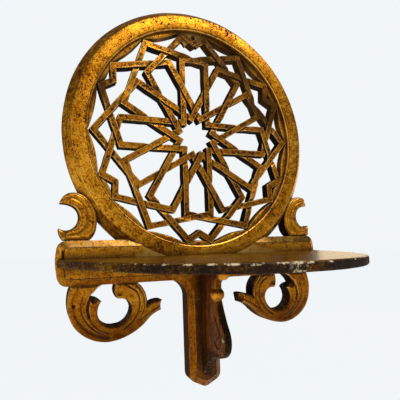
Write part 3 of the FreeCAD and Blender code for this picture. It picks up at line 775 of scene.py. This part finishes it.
def age_plate(material):
    """Dust on the top bevel with painted shade at its right end, dirt in the left groove beside a painted
    highlight line, a painted shadow on the stem's face, and redder lower down, partly the leaf's own
    colour and partly painted shade under the shelf.
    """
    where, normal = coordinates(material.node_tree)
    along, _, level = where.parts()
    _, ahead, upward = normal.parts()
    coat = material.node_tree.nodes["gilding"].inputs
    # Below the shelf's top the leaf is redder and its sides darker: partly the leaf's own colour, partly
    # painted shade under the shelf.
    lower = band(level, -8 * MM, -42 * MM)
    (lower * 0.62 + 0.1).feed(coat["Warmth"])
    (lower * 0.45 + 0.4).feed(coat["Sides"])
    (band((level - STEM_TOP * MM).size(), 2 * MM, 4 * MM) * 0.6).feed(coat["Edge"])
    dust_on(material, 0.75)
    streaks = noise(stretched(where, (330.0, 330.0, 30.0)), 1.0, 4.0, 0.6)
    stain(material, band(streaks, 0.47, 0.62) * lower * 0.7, STREAK_BROWN, True)
    uneven = (noise(where, 90.0, 5.0, 0.65) * 1.7).kept()
    # Painted shade on the top bevel at the right end.
    shade = band(along, 95 * MM, 125 * MM) * band(upward, 0.2, 0.5)
    stain(material, (shade * (uneven * 1.1)).kept(), SHADED_GILT, True)
    # The stem's face below the shelf is painted darker, as the shelf's shadow.
    face = band(ahead * -1.0, 0.93, 0.98) * band(level, -45 * MM, -70 * MM)
    stain(material, face * (uneven * 0.7), STEM_FACE_SHADOW)
    groove = band((along - LEFT_GROOVE * MM).size(), 2.4 * MM, 1.2 * MM) * band(level, 14 * MM, 10 * MM)
    stain(material, groove * band(level, -3 * MM, 0.0) * 0.9, BLACK_DIRT_AND_SHADOW)
    lit = band((along - LEFT_ARRIS * MM).size(), 1.1 * MM, 0.3 * MM) * uneven
    stain(material, lit * band(level, 5 * MM, 12 * MM) * 0.8, LIT_GOLD, True)


plate_gilding = gilded("plate_gilding", 0.55, 1.0, 0.7, 0.0, 0.35, 0.5)
age_plate(plate_gilding)
steps = eased_corners(PLATE_CORNERS)
plate = wall_board("plate", drawn_outline(steps[-1][-1], steps, 3.0), 0, PLATE_BODY)
picked(plate, "FACE", lambda face: face.normal.y < -0.9 and len(face.vertices) > 8)
for inward, forward in MOULDING:
    bpy.ops.mesh.inset(thickness=inward * MM, depth=forward * MM)
bpy.ops.object.mode_set(mode="OBJECT")
ring_seat = turned("ring_seat", SEAT_SECTION, SEAT_STEPS, math.tau)
stem_board = doubled(plate, "stem_board")
cut_away(plate, ring_seat)
for board, node, keep_above in ((plate, "crossbar", True), (stem_board, "stem", False)):
    board.name = board.data.name = "gilded_" + node
    in_hand(board)
    edit_all()
    bpy.ops.mesh.bisect(plane_co=(0, 0, STEM_TOP * MM), plane_no=(0, 0, 1), use_fill=True,
                        clear_inner=keep_above, clear_outer=not keep_above)
    close_up()
    finished(board, plate_gilding, PLATE_CRISP_DEG)
    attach(board, "root")
    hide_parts(node)

# The lower scrolls. A C-shaped leaf scroll hangs under each arm of the crossbar: an outer band, an
# inner leaf, a curl and a tail, sawn from a 21 mm board and fluted with a gouge.
SCROLL_GRAIN = 0.8
SCROLL_BROWN = (0.10, 0.022, 0.002, 1)
FLUTE_DIRT = (0.035, 0.012, 0.002, 1)
LOWER_FRONT, LOWER_ROUNDING = 21.0, 3.5
LOWER_START = (191.0, -36.0)
LOWER_STEPS = (
    ((195.5, -60.0), (186.0, -90.0)), ((166.0, -106.5), (140.0, -112.5)),
    ((112.0, -106.0), (86.0, -88.5)), ((76.5, -80.5), (65.0, -76.0)), ((62.5, -62.0),),
    ((75.0, -62.5), (86.5, -68.5)), ((88.0, -50.0), (99.0, -36.0)), ((130.0, -36.0),),
    ((131.8, -47.0), (127.0, -56.5)), ((113.5, -60.0), (108.5, -70.0)),
    ((115.5, -85.5), (132.0, -92.0)), ((148.5, -87.0), (155.5, -74.0)),
    ((154.0, -65.0), (150.0, -58.0)), ((156.5, -53.5), (164.0, -52.0)),
    ((158.0, -43.0), (148.0, -36.0)), (LOWER_START,))
# Each flute is a line, its half width and its depth.
LOWER_FLUTES = (
    (((162, -49), (167, -57), (169, -67), (167, -78)), 2.8, 3.4),
    (((181, -38), (188, -56), (184, -76), (172, -92), (155, -102), (140, -106)), 3.0, 1.0),
    (((175, -50), (178, -62), (175, -76), (167, -88), (157, -97), (147, -102)), 1.4, 1.1),
    (((166, -80), (161, -88), (152, -96), (142, -100)), 1.3, 0.9),
    (((112, -40), (101, -48), (97, -60), (99, -74), (108, -88), (120, -97)), 1.6, 1.3),
    (((102, -38), (93, -50), (90, -64), (92, -76), (101, -90)), 1.3, 0.9),
    (((68, -70), (82, -77), (96, -86)), 2.0, 0.9))
LOWER_SCOOPS = (((61.0, -69.0), 9.0, 7.0), ((128.0, -44.0), 10.0, 2.5), ((160.0, -52.5), 7.0, 6.0))


def smooth_line(points, count=8):
    """A flowing line through the places, as a gouge would run."""
    places = [Vector(point) for point in points]
    places = [places[0] * 2 - places[1]] + places + [places[-1] * 2 - places[-2]]
    flowing = []
    for a, b, c, d in zip(places, places[1:], places[2:], places[3:]):
        for step in range(count):
            t = step / count
            flowing.append(tuple(0.5 * (b * 2 + (c - a) * t + (a * 2 - b * 5 + c * 4 - d) * t * t
                                        + (b * 3 - a - c * 3 + d) * t ** 3)))
    return flowing + [tuple(places[-2])]


def from_line(places, line, closed):
    """How far each place lies from a line of points."""
    line = np.array(line, float)
    ends = np.roll(line, -1, axis=0) if closed else line[1:]
    starts = line if closed else line[:-1]
    nearest = np.full(len(places), 1e9)
    for start, end in zip(starts, ends):
        run = end - start
        share = np.clip(((places - start) @ run) / max(run @ run, 1e-12), 0, 1)
        nearest = np.minimum(nearest, np.hypot(*(places - start - share[:, None] * run).T))
    return nearest


def even_faces(piece, size):
    """The board is divided into even small faces that can be carved."""
    in_hand(piece)
    grain = piece.modifiers.new("even_faces", "REMESH")
    grain.mode = "VOXEL"
    grain.voxel_size = size * MM
    bpy.ops.object.modifier_apply(modifier=grain.name)
    return np.array([corner.co for corner in piece.data.vertices]) / MM


def carve(piece, line, front, rounding, flutes, scoops):
    """The front is rounded over its edges, fluted and scooped; the sides follow in proportion."""
    corners = even_faces(piece, SCROLL_GRAIN)
    flat = corners[:, (0, 2)]
    short = np.maximum(0, rounding - from_line(flat, line, True))
    drop = rounding - np.sqrt(np.maximum(0, rounding ** 2 - short ** 2))
    grime = np.zeros(len(flat))
    for path, half_width, depth in flutes:
        away = from_line(flat, smooth_line(path), False)
        near = np.clip(1 - away / half_width, 0, 1)
        drop += depth * near * near * (3 - 2 * near)
        grime = np.maximum(grime, np.clip(1.25 - away / 0.9, 0, 1) * min(1.0, depth / 1.2))
    for (x, z), radius, depth in scoops:
        near = np.hypot(flat[:, 0] - x, flat[:, 1] - z) / radius
        drop += depth * np.clip(1 - near * near, 0, 1)
    for index, corner in enumerate(piece.data.vertices):
        uneven = 0.25 * mathutils.noise.noise(corner.co * 110) + 0.25
        share = min(1.0, max(0.0, -corners[index, 1] / front))
        corner.co.y += (drop[index] + uneven) * share * MM
    dirty = piece.data.attributes.new("flute_dirt", "FLOAT", "POINT")
    dirty.data.foreach_set("value", grime * (corners[:, 1] < -front / 2))
    bpy.ops.object.shade_smooth()


def painted(material, name):
    """The named mask that is kept in the mesh."""
    node = material.node_tree.nodes.new("ShaderNodeAttribute")
    node.attribute_name = name
    return Flow(material.node_tree, node.outputs["Fac"])


def scroll_finish(name, warmth, dusty, darkening):
    """The gilding, with dirt in the flutes, dust on top, and a darker red-brown lower down."""
    material = gilded(name, 0.5, 0.9, 0.35, warmth, 1.0, 1.4)
    where, _ = coordinates(material.node_tree)
    uneven = noise(where, 80.0, 5.0, 0.65)
    low = band(where.parts()[2], -60 * MM, -105 * MM) * darkening
    stain(material, (low * (uneven * 1.8)).kept(), SCROLL_BROWN, True)
    dust_on(material, dusty)
    grime = painted(material, "flute_dirt") * (uneven + 0.25)
    stain(material, grime.kept(), FLUTE_DIRT)
    return material


def mirror_twin(piece, name):
    """The matching piece for the other side."""
    twin = doubled(piece, name)
    twin.data.transform(Matrix.Scale(-1, 4, (1, 0, 0)))
    twin.data.flip_normals()
    return twin


LOWER_KNOT = (((-0.187, -0.019, -0.062), 0.0035),)
KNOT_BROWN = (0.02, 0.008, 0.002, 1)
lower_gilding = scroll_finish("lower_scroll_gilding", 0.4, 0.3, 0.9)
stain(lower_gilding, spots(lower_gilding, LOWER_KNOT, 3.0), KNOT_BROWN)
lower_line = drawn_outline(LOWER_START, LOWER_STEPS, 1.5)
lower_right = wall_board("carved_lower_scroll_right", lower_line, 0, LOWER_FRONT)
carve(lower_right, lower_line, LOWER_FRONT, LOWER_ROUNDING, LOWER_FLUTES, LOWER_SCOOPS)

# The upper scrolls. A small C-scroll stands on each end of the crossbar and leans on the ring,
# with both tips hollowed out. Sawn from a 20 mm board and fluted like the lower ones.
UPPER_FRONT, UPPER_ROUNDING = 20.0, 5.0
UPPER_START = (165.0, 24.0)
UPPER_STEPS = (
    ((199.5, 24.0),), ((204.5, 32.0), (205.5, 41.5)), ((195.5, 38.0), (186.0, 41.5)),
    ((178.5, 55.5), (187.0, 70.5)), ((194.5, 73.2), (203.5, 74.0)),
    ((198.0, 84.5), (186.0, 89.0)), ((173.5, 86.5), (163.0, 77.0)),
    ((154.5, 56.0), (155.0, 41.0)), ((158.5, 31.0), UPPER_START))
UPPER_FLUTES = (
    (((199, 79), (186, 81), (174, 74), (167, 60), (168, 44), (178, 33), (192, 31)), 3.2, 1.1),
    (((182, 87), (170, 79), (161, 64), (159, 48), (163, 35)), 1.5, 0.7),
    (((190, 75), (179, 68), (174, 56), (177, 43), (186, 37)), 1.5, 0.7))
UPPER_SCOOPS = (((201.0, 76.5), 9.0, 4.0), ((202.0, 36.0), 9.0, 4.0))
upper_gilding = scroll_finish("upper_scroll_gilding", 0.0, 0.9, 0.0)
upper_line = drawn_outline(UPPER_START, UPPER_STEPS, 1.2)
upper_right = wall_board("carved_upper_scroll_right", upper_line, 0, UPPER_FRONT)
carve(upper_right, upper_line, UPPER_FRONT, UPPER_ROUNDING, UPPER_FLUTES, UPPER_SCOOPS)
# Each scroll takes its gilding and has a mirrored twin on the left.
for right, place, finish in ((lower_right, "lower", lower_gilding), (upper_right, "upper", upper_gilding)):
    right.data.materials.append(finish)
    left = mirror_twin(right, "carved_%s_scroll_left" % place)
    for piece, side in ((right, "right"), (left, "left")):
        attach(piece, "root")
        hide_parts("%s_scroll_%s" % (place, side))

# The shelf. A half-round pine board 10 mm thick, its top varnished an olive brown; its front edge
# is rounded, nearly black with old dirt, and chipped down to the gesso along the top arris.
SHELF_FRONT = 239.0
SHELF_THICK = 10.0
NOSE_RADIUS = 172.0
NOSE_DEG = 54.5
SHELF_CORNER = Vector((208.0, -24.0))
VARNISH = ((0.36, (0.045, 0.017, 0.0005, 1)), (0.5, (0.105, 0.042, 0.001, 1)),
           (0.66, (0.24, 0.115, 0.006, 1)))
SOILED_EDGE = ((0.46, (0.009, 0.004, 0.001, 1)), (0.54, (0.035, 0.012, 0.002, 1)),
               (0.61, (0.18, 0.075, 0.006, 1)), (0.70, (0.50, 0.27, 0.04, 1)))
SCRATCHES = (((-0.018, -0.238, -0.005), 0.010),)
SHELF_GRIME = (0.03, 0.012, 0.002, 1)
BARED_GESSO = (0.80, 0.62, 0.38, 1)
SHELF_SHEEN = 0.16
SHELF_CRISP_DEG = 35
SHELF_BEVEL = 2.4 * MM
SHELF_INSETS = (1.5 * MM, 3.0 * MM)
WORN_REACH, WORN_DEPTH = 3.5, 5.0
KNOCK_BACK, CRUMB_BACK = 1.6, 0.35
KNOCK_DOWN, CRUMB_DOWN = 0.7, 0.2


def shelf_line():
    """The shelf from above: a nose arc that runs smoothly into two flatter side arcs."""
    nose = Vector((0, NOSE_RADIUS - SHELF_FRONT))
    outward = Vector((math.sin(math.radians(NOSE_DEG)), -math.cos(math.radians(NOSE_DEG))))
    shoulder = nose + outward * NOSE_RADIUS
    room = NOSE_RADIUS - (SHELF_CORNER - nose).dot(outward)
    side_radius = (SHELF_CORNER - shoulder).length_squared / (2 * room)
    side = shoulder - outward * side_radius
    bow = side + ((SHELF_CORNER + shoulder) / 2 - side).normalized() * side_radius
    steps = [((bow.x, bow.y), (shoulder.x, shoulder.y)),
             ((0, -SHELF_FRONT), (-shoulder.x, shoulder.y)),
             ((-bow.x, bow.y), (-SHELF_CORNER.x, SHELF_CORNER.y)),
             ((SHELF_CORNER.x, SHELF_CORNER.y),)]
    return drawn_outline(tuple(SHELF_CORNER), steps, 2.0)


def curved_edge(edge):
    """An edge along the top or bottom of the shelf's curved front."""
    first, last = (worn_shelf.data.vertices[index].co for index in edge.vertices)
    return abs(first.z - last.z) < 1 * MM and min(first.y, last.y) < (SHELF_CORNER.y - 0.01) * MM


def wear_shelf(board):
    """The front arris is knocked about, and how worn each place is goes into the mesh."""
    corners = np.array([corner.co for corner in board.data.vertices]) / MM
    edge = from_line(corners[:, (0, 1)], shelf_line(), True)
    worn = board.data.attributes.new("worn_arris", "FLOAT", "POINT")
    for index, corner in enumerate(board.data.vertices):
        x, y, z = corners[index]
        near = max(0.0, 1.0 - edge[index] / WORN_REACH) if y < SHELF_CORNER.y - 2 else 0.0
        worn.data[index].value = near * max(0.0, 1 + z / WORN_DEPTH)
        knock = max(0.0, mathutils.noise.noise(Vector((x, y, z * 0.4)) * 0.11))
        fine = 0.5 + 0.5 * mathutils.noise.noise(Vector((x, y, z)) * 0.5)
        inward = Vector((-x, -110 - y, 0)).normalized()
        corner.co += inward * near * (KNOCK_BACK * knock + CRUMB_BACK * fine) * MM
        if z > -SHELF_THICK / 2:
            corner.co.z -= near * (KNOCK_DOWN * knock + CRUMB_DOWN * fine) * MM
        corner.co.x = max(-SHELF_CORNER.x * MM, min(SHELF_CORNER.x * MM, corner.co.x))


def shelf_finish():
    material, shader = new_finish("varnished_shelf", SHELF_SHEEN)
    where, normal = coordinates(material.node_tree)
    along = where.parts()[0]
    streaks = noise(stretched(where, (6.0, 60.0, 60.0)), 1.4, 6.0, 0.6)
    blotch = noise(where, 14.0, 5.0, 0.6)
    grime = noise(where, 180.0, 4.0, 0.65)
    crumbs = noise(where, 330.0, 5.0, 0.7)
    top = blend(rise(grime, 0.62, 8.0), ramp(streaks * 0.5 + blotch * 0.5, VARNISH), SHELF_GRIME)
    edge_tone = crumbs * 0.6 + blotch * 0.4 + band(along, -100 * MM, -170 * MM) * 0.09
    level = rise(normal.parts()[2], 0.45, 4.0)
    board = blend(level, ramp(edge_tone, SOILED_EDGE), top)
    worn = painted(material, "worn_arris")
    knocked = band((along + 55 * MM).size(), 85 * MM, 30 * MM)
    chip = rise(noise(where, 130.0, 5.0, 0.7) + knocked * 0.10 + worn * 0.22, 0.73, 14.0)
    scratched = rise(crumbs, 0.47, 9.0) * spots(material, SCRATCHES, 1.3)
    chip = (chip * band(worn, 0.48, 0.64)).at_least(scratched)
    blend(chip, board, BARED_GESSO).feed(shader.inputs["Base Color"])
    (0.75 - level * 0.55 + grime * 0.08).at_least(chip * 0.8).feed(shader.inputs["Roughness"])
    leafed = band(edge_tone, 0.54, 0.60) * (1.0 - level) * (1.0 - chip)
    leafed.kept().feed(shader.inputs["Metallic"])
    raise_relief(grime - chip, 0.25, 0.8 * MM, shader)
    return material


worn_shelf = sawn("worn_shelf", [(x * MM, y * MM, -SHELF_THICK * MM) for x, y in shelf_line()],
                  (0, 0, SHELF_THICK * MM))
picked(worn_shelf, "EDGE", curved_edge)
bpy.ops.mesh.bevel(offset=SHELF_BEVEL, segments=4, profile=0.5)
bpy.ops.object.mode_set(mode="OBJECT")
picked(worn_shelf, "FACE", lambda face: abs(face.normal.z) > 0.99 and len(face.vertices) > 8)
for inward in SHELF_INSETS:
    bpy.ops.mesh.inset(thickness=inward)
bpy.ops.object.mode_set(mode="OBJECT")
wear_shelf(worn_shelf)
finished(worn_shelf, shelf_finish(), SHELF_CRISP_DEG)
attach(worn_shelf, "root")
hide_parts("shelf")

# The corbel. A rib 12 mm thick stands on the stem under the shelf: a lip, a cove, a round bead, a
# long breast that swells to a nose, and a tail. Sawn to its profile and rounded over with a file.
CORBEL_HALF = 6.0
CORBEL_ROUNDING = 3.0
CORBEL_START = (0.0, 0.0)
CORBEL_STEPS = (
    ((60.0, 0.0),), ((60.0, 16.0),), ((57.9, 20.9), (53.0, 23.0)), ((45.2, 25.1), (42.0, 30.0)),
    ((42.0, 36.0),), ((46.0, 43.0), (42.0, 50.0)), ((49.5, 69.5), (60.0, 89.0)),
    ((63.0, 102.0), (60.0, 115.0)), ((51.0, 123.5), (36.0, 126.0)), ((15.0, 142.0), (0.0, 164.0)),
    (CORBEL_START,))
CHEEK_GROOVE = ((-58, -60), (-61, -80), (-72, -98), (-75, -112), (-68, -122), (-60, -116))
BEAD_AND_LIP_HIGHLIGHTS = (((-0.004, -0.064, -0.053), 0.011), ((-0.002, -0.084, -0.028), 0.011))
NOSE_GLINT = (((-0.003, -0.0825, -0.109), 0.0042),)
CHEEK_BROWN = (0.040, 0.014, 0.002, 1)
BEAD_HIGHLIGHT = (0.85, 0.33, 0.02, 1)
GLINT = (0.9, 0.68, 0.36, 1)
CORBEL_GRAIN = 1.0
CORBEL_UNEVEN = 0.3
GROOVE_DEPTH, GROOVE_HALF = 1.6, 3.0
# Each swelling is its height, its middle and its reach.
SWELLINGS = ((3.2, (-62, -53), (9, 7.5)), (2.0, (-80, -25), (9, 7)))


def swelling(y, z, middle, reach):
    """Full at the middle, and nothing at the reach up or along."""
    return (max(0.0, 1 - ((z - middle[1]) / reach[1]) ** 2)
            * max(0.0, 1 - ((y - middle[0]) / reach[0]) ** 2))


def age_corbel(material):
    """Painted near-black shade on the breast and the tail, painted highlights on the bead, the lip and the
    nose, and streaks down the cheeks.
    """
    where, normal = coordinates(material.node_tree)
    level = where.parts()[2]
    streaks = noise(stretched(where, (260.0, 260.0, 22.0)), 1.0, 4.0, 0.6)
    uneven = noise(where, 190.0, 5.0, 0.7)
    stain(material, band(streaks, 0.44, 0.60) * 0.8, CHEEK_BROWN, True)
    # The breast and the tail are painted near black, as shade under the shelf.
    breast = band(level, -62 * MM, -70 * MM) * band(normal.parts()[0].size(), 0.75, 0.45)
    black = (breast * 0.95).at_least(band(level, -126 * MM, -132 * MM) * 0.8)
    stain(material, black * band(uneven, 0.70, 0.50), BLACK_DIRT_AND_SHADOW)
    # Highlights are painted on the bead and the lip, and a glint on the nose.
    bright = spots(material, BEAD_AND_LIP_HIGHLIGHTS, 2.0) * (uneven * 1.5)
    stain(material, bright.kept(), BEAD_HIGHLIGHT, True)
    glint = spots(material, NOSE_GLINT, 2.2) * (uneven * 1.6)
    stain(material, glint.kept(), GLINT, True)


corbel_gilding = gilded("corbel_gilding", 0.6, 1.0, 0.7, 0.8, 0.0, 0.7)
age_corbel(corbel_gilding)
corbel_line = drawn_outline(CORBEL_START, CORBEL_STEPS, 1.5)
corbel_line = [(-PLATE_FRONT - reach, -SHELF_THICK - drop) for reach, drop in corbel_line]
corbel_rib = sawn("carved_corbel", [(-CORBEL_HALF * MM, y * MM, z * MM) for y, z in corbel_line],
                  (2 * CORBEL_HALF * MM, 0, 0))
corners = even_faces(corbel_rib, CORBEL_GRAIN)
edge = from_line(corners[:, (1, 2)], corbel_line, True)
cheek = from_line(corners[:, (1, 2)], smooth_line(CHEEK_GROOVE), False)
for index, corner in enumerate(corbel_rib.data.vertices):
    x, y, z = corners[index]
    short = max(0.0, CORBEL_ROUNDING - edge[index]) if y < -26 and z < -12 else 0.0
    rounded = CORBEL_ROUNDING - math.sqrt(CORBEL_ROUNDING ** 2 - min(CORBEL_ROUNDING, short) ** 2)
    groove = GROOVE_DEPTH * max(0.0, 1 - cheek[index] / GROOVE_HALF) ** 1.5
    uneven = CORBEL_UNEVEN * (0.5 + 0.5 * mathutils.noise.noise(corner.co * 90))
    swell = sum(high * swelling(y, z, middle, reach) for high, middle, reach in SWELLINGS)
    half = CORBEL_HALF - rounded * 0.8 - groove - uneven + swell
    corner.co.x = half * x / CORBEL_HALF * MM
in_hand(corbel_rib)
bpy.ops.object.shade_smooth()
corbel_rib.data.materials.append(corbel_gilding)
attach(corbel_rib, "root")
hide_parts("corbel")

# The joinery inside. The loose tongues and the dowels are bare beech; the screws and the thin
# sprigs that hold the rosette in its rebate are blackened iron.
BEECH = ((0.35, (0.30, 0.16, 0.07, 1)), (0.65, (0.52, 0.33, 0.17, 1)))
BARE_SHEEN = 0.5
IRON = ((0.35, (0.05, 0.035, 0.03, 1)), (0.65, (0.16, 0.15, 0.14, 1)))


def bare_finish(name, tones, grain, metal, rough):
    material, shader = new_finish(name, BARE_SHEEN)
    where, _ = coordinates(material.node_tree)
    lines = noise(stretched(where, grain), 1.0, 5.0, 0.6)
    ramp(lines, tones).feed(shader.inputs["Base Color"])
    (lines * 0.3 + rough).feed(shader.inputs["Roughness"])
    shader.inputs["Metallic"].default_value = metal
    raise_relief(lines, 0.3, 0.4 * MM, shader)
    return material


bare_beech = bare_finish("bare_beech", BEECH, (90.0, 900.0, 900.0), 0.0, 0.55)
black_iron = bare_finish("black_iron", IRON, (700.0, 700.0, 700.0), 0.8, 0.4)
for name in ("ring_tongues", "ring_dowels", "lower_scroll_dowels", "upper_scroll_dowels"):
    nodes[name].data.materials[0] = bare_beech
for name in ("shelf_screws", "corbel_screws", "panel_sprigs"):
    nodes[name].data.materials[0] = black_iron

# Plain pale floor well below the hung stand.
BACKDROP = (0.887, 0.921, 0.947, 1)
bpy.ops.object.select_all(action="DESELECT")
bpy.ops.mesh.primitive_plane_add(size=40.0, location=(0.0, 0.0, -0.75))
floor = bpy.context.object
floor.name = "floor"
pale = bpy.data.materials.new("pale_floor")
pale.use_nodes = True
pale_shader = pale.node_tree.nodes["Principled BSDF"]
pale_shader.inputs["Base Color"].default_value = (0.03, 0.031, 0.032, 1)
pale_shader.inputs["Roughness"].default_value = 1.0
pale_shader.inputs["Specular IOR Level"].default_value = 0.0
pale_shader.inputs["Emission Color"].default_value = BACKDROP
pale_shader.inputs["Emission Strength"].default_value = 0.985
floor.data.materials.append(pale)


# Soft studio light: a large panel above and to the right in front, weak ones in front and from the
# left, and a warm one behind at the right, which the shelf's varnish mirrors.
def light_panel(name, place, aim, size, power):
    lamp = bpy.data.lights.new(name, "AREA")
    lamp.shape = "RECTANGLE"
    lamp.size, lamp.size_y = size
    lamp.energy = power
    panel = bpy.data.objects.new(name, lamp)
    bpy.context.scene.collection.objects.link(panel)
    panel.location = place
    panel.rotation_euler = (Vector(aim) - Vector(place)).to_track_quat("-Z", "Y").to_euler()
    return panel


light_panel("key_panel", (0.7, -1.15, 1.7), (0, 0, 0.1), (1.1, 0.9), 27.0)
light_panel("front_panel", (-0.5, -2.2, 0.4), (0, 0, 0.1), (1.4, 1.4), 5.0)
light_panel("left_panel", (-2.0, -1.0, 0.5), (0, 0, 0.1), (1.0, 1.0), 4.0)
back_light = light_panel("back_panel", (3.45, 1.9, 0.45), (0, 0, 0.0), (2.0, 1.2), 14.0)
back_light.data.color = (1.0, 0.76, 0.47)
back_light.visible_camera = False

world = bpy.data.worlds.new("studio")
world.use_nodes = True
bpy.context.scene.world = world
sky = world.node_tree
plain = sky.nodes["Background"]
plain.inputs["Color"].default_value = BACKDROP
soft = sky.nodes.new("ShaderNodeBackground")
soft.inputs["Color"].default_value = (0.9, 0.93, 1.0, 1)
soft.inputs["Strength"].default_value = 0.15
seen = sky.nodes.new("ShaderNodeLightPath")
choose = sky.nodes.new("ShaderNodeMixShader")
sky.links.new(seen.outputs["Is Camera Ray"], choose.inputs[0])
sky.links.new(soft.outputs[0], choose.inputs[1])
sky.links.new(plain.outputs[0], choose.inputs[2])
sky.links.new(choose.outputs[0], sky.nodes["World Output"].inputs["Surface"])
bpy.context.scene.view_settings.view_transform = "Standard"

# Camera at the photo's viewing angle: low, left of the middle and close, turned a little right.
EYE = Vector((-0.2286, -0.4735, 0.0188))
YAW = math.radians(18.0)
PITCH = math.radians(4.148)
ROLL = math.radians(-1.433)
ahead = Vector((math.sin(YAW) * math.cos(PITCH), math.cos(YAW) * math.cos(PITCH), math.sin(PITCH)))
level = Vector((math.cos(YAW), -math.sin(YAW), 0))
upward = level.cross(ahead)
across = level * math.cos(ROLL) + upward * math.sin(ROLL)
above = upward * math.cos(ROLL) - level * math.sin(ROLL)
lens = bpy.data.cameras.new("photo_camera")
lens.sensor_width = 36.0
lens.lens = 30.246
lens.shift_x = 0.1284
lens.shift_y = 0.0460
lens.clip_start = 0.01
camera = bpy.data.objects.new("photo_camera", lens)
bpy.context.scene.collection.objects.link(camera)
turn = Matrix((across, above, -ahead)).transposed().to_4x4()
camera.matrix_world = Matrix.Translation(EYE) @ turn
bpy.context.scene.camera = camera
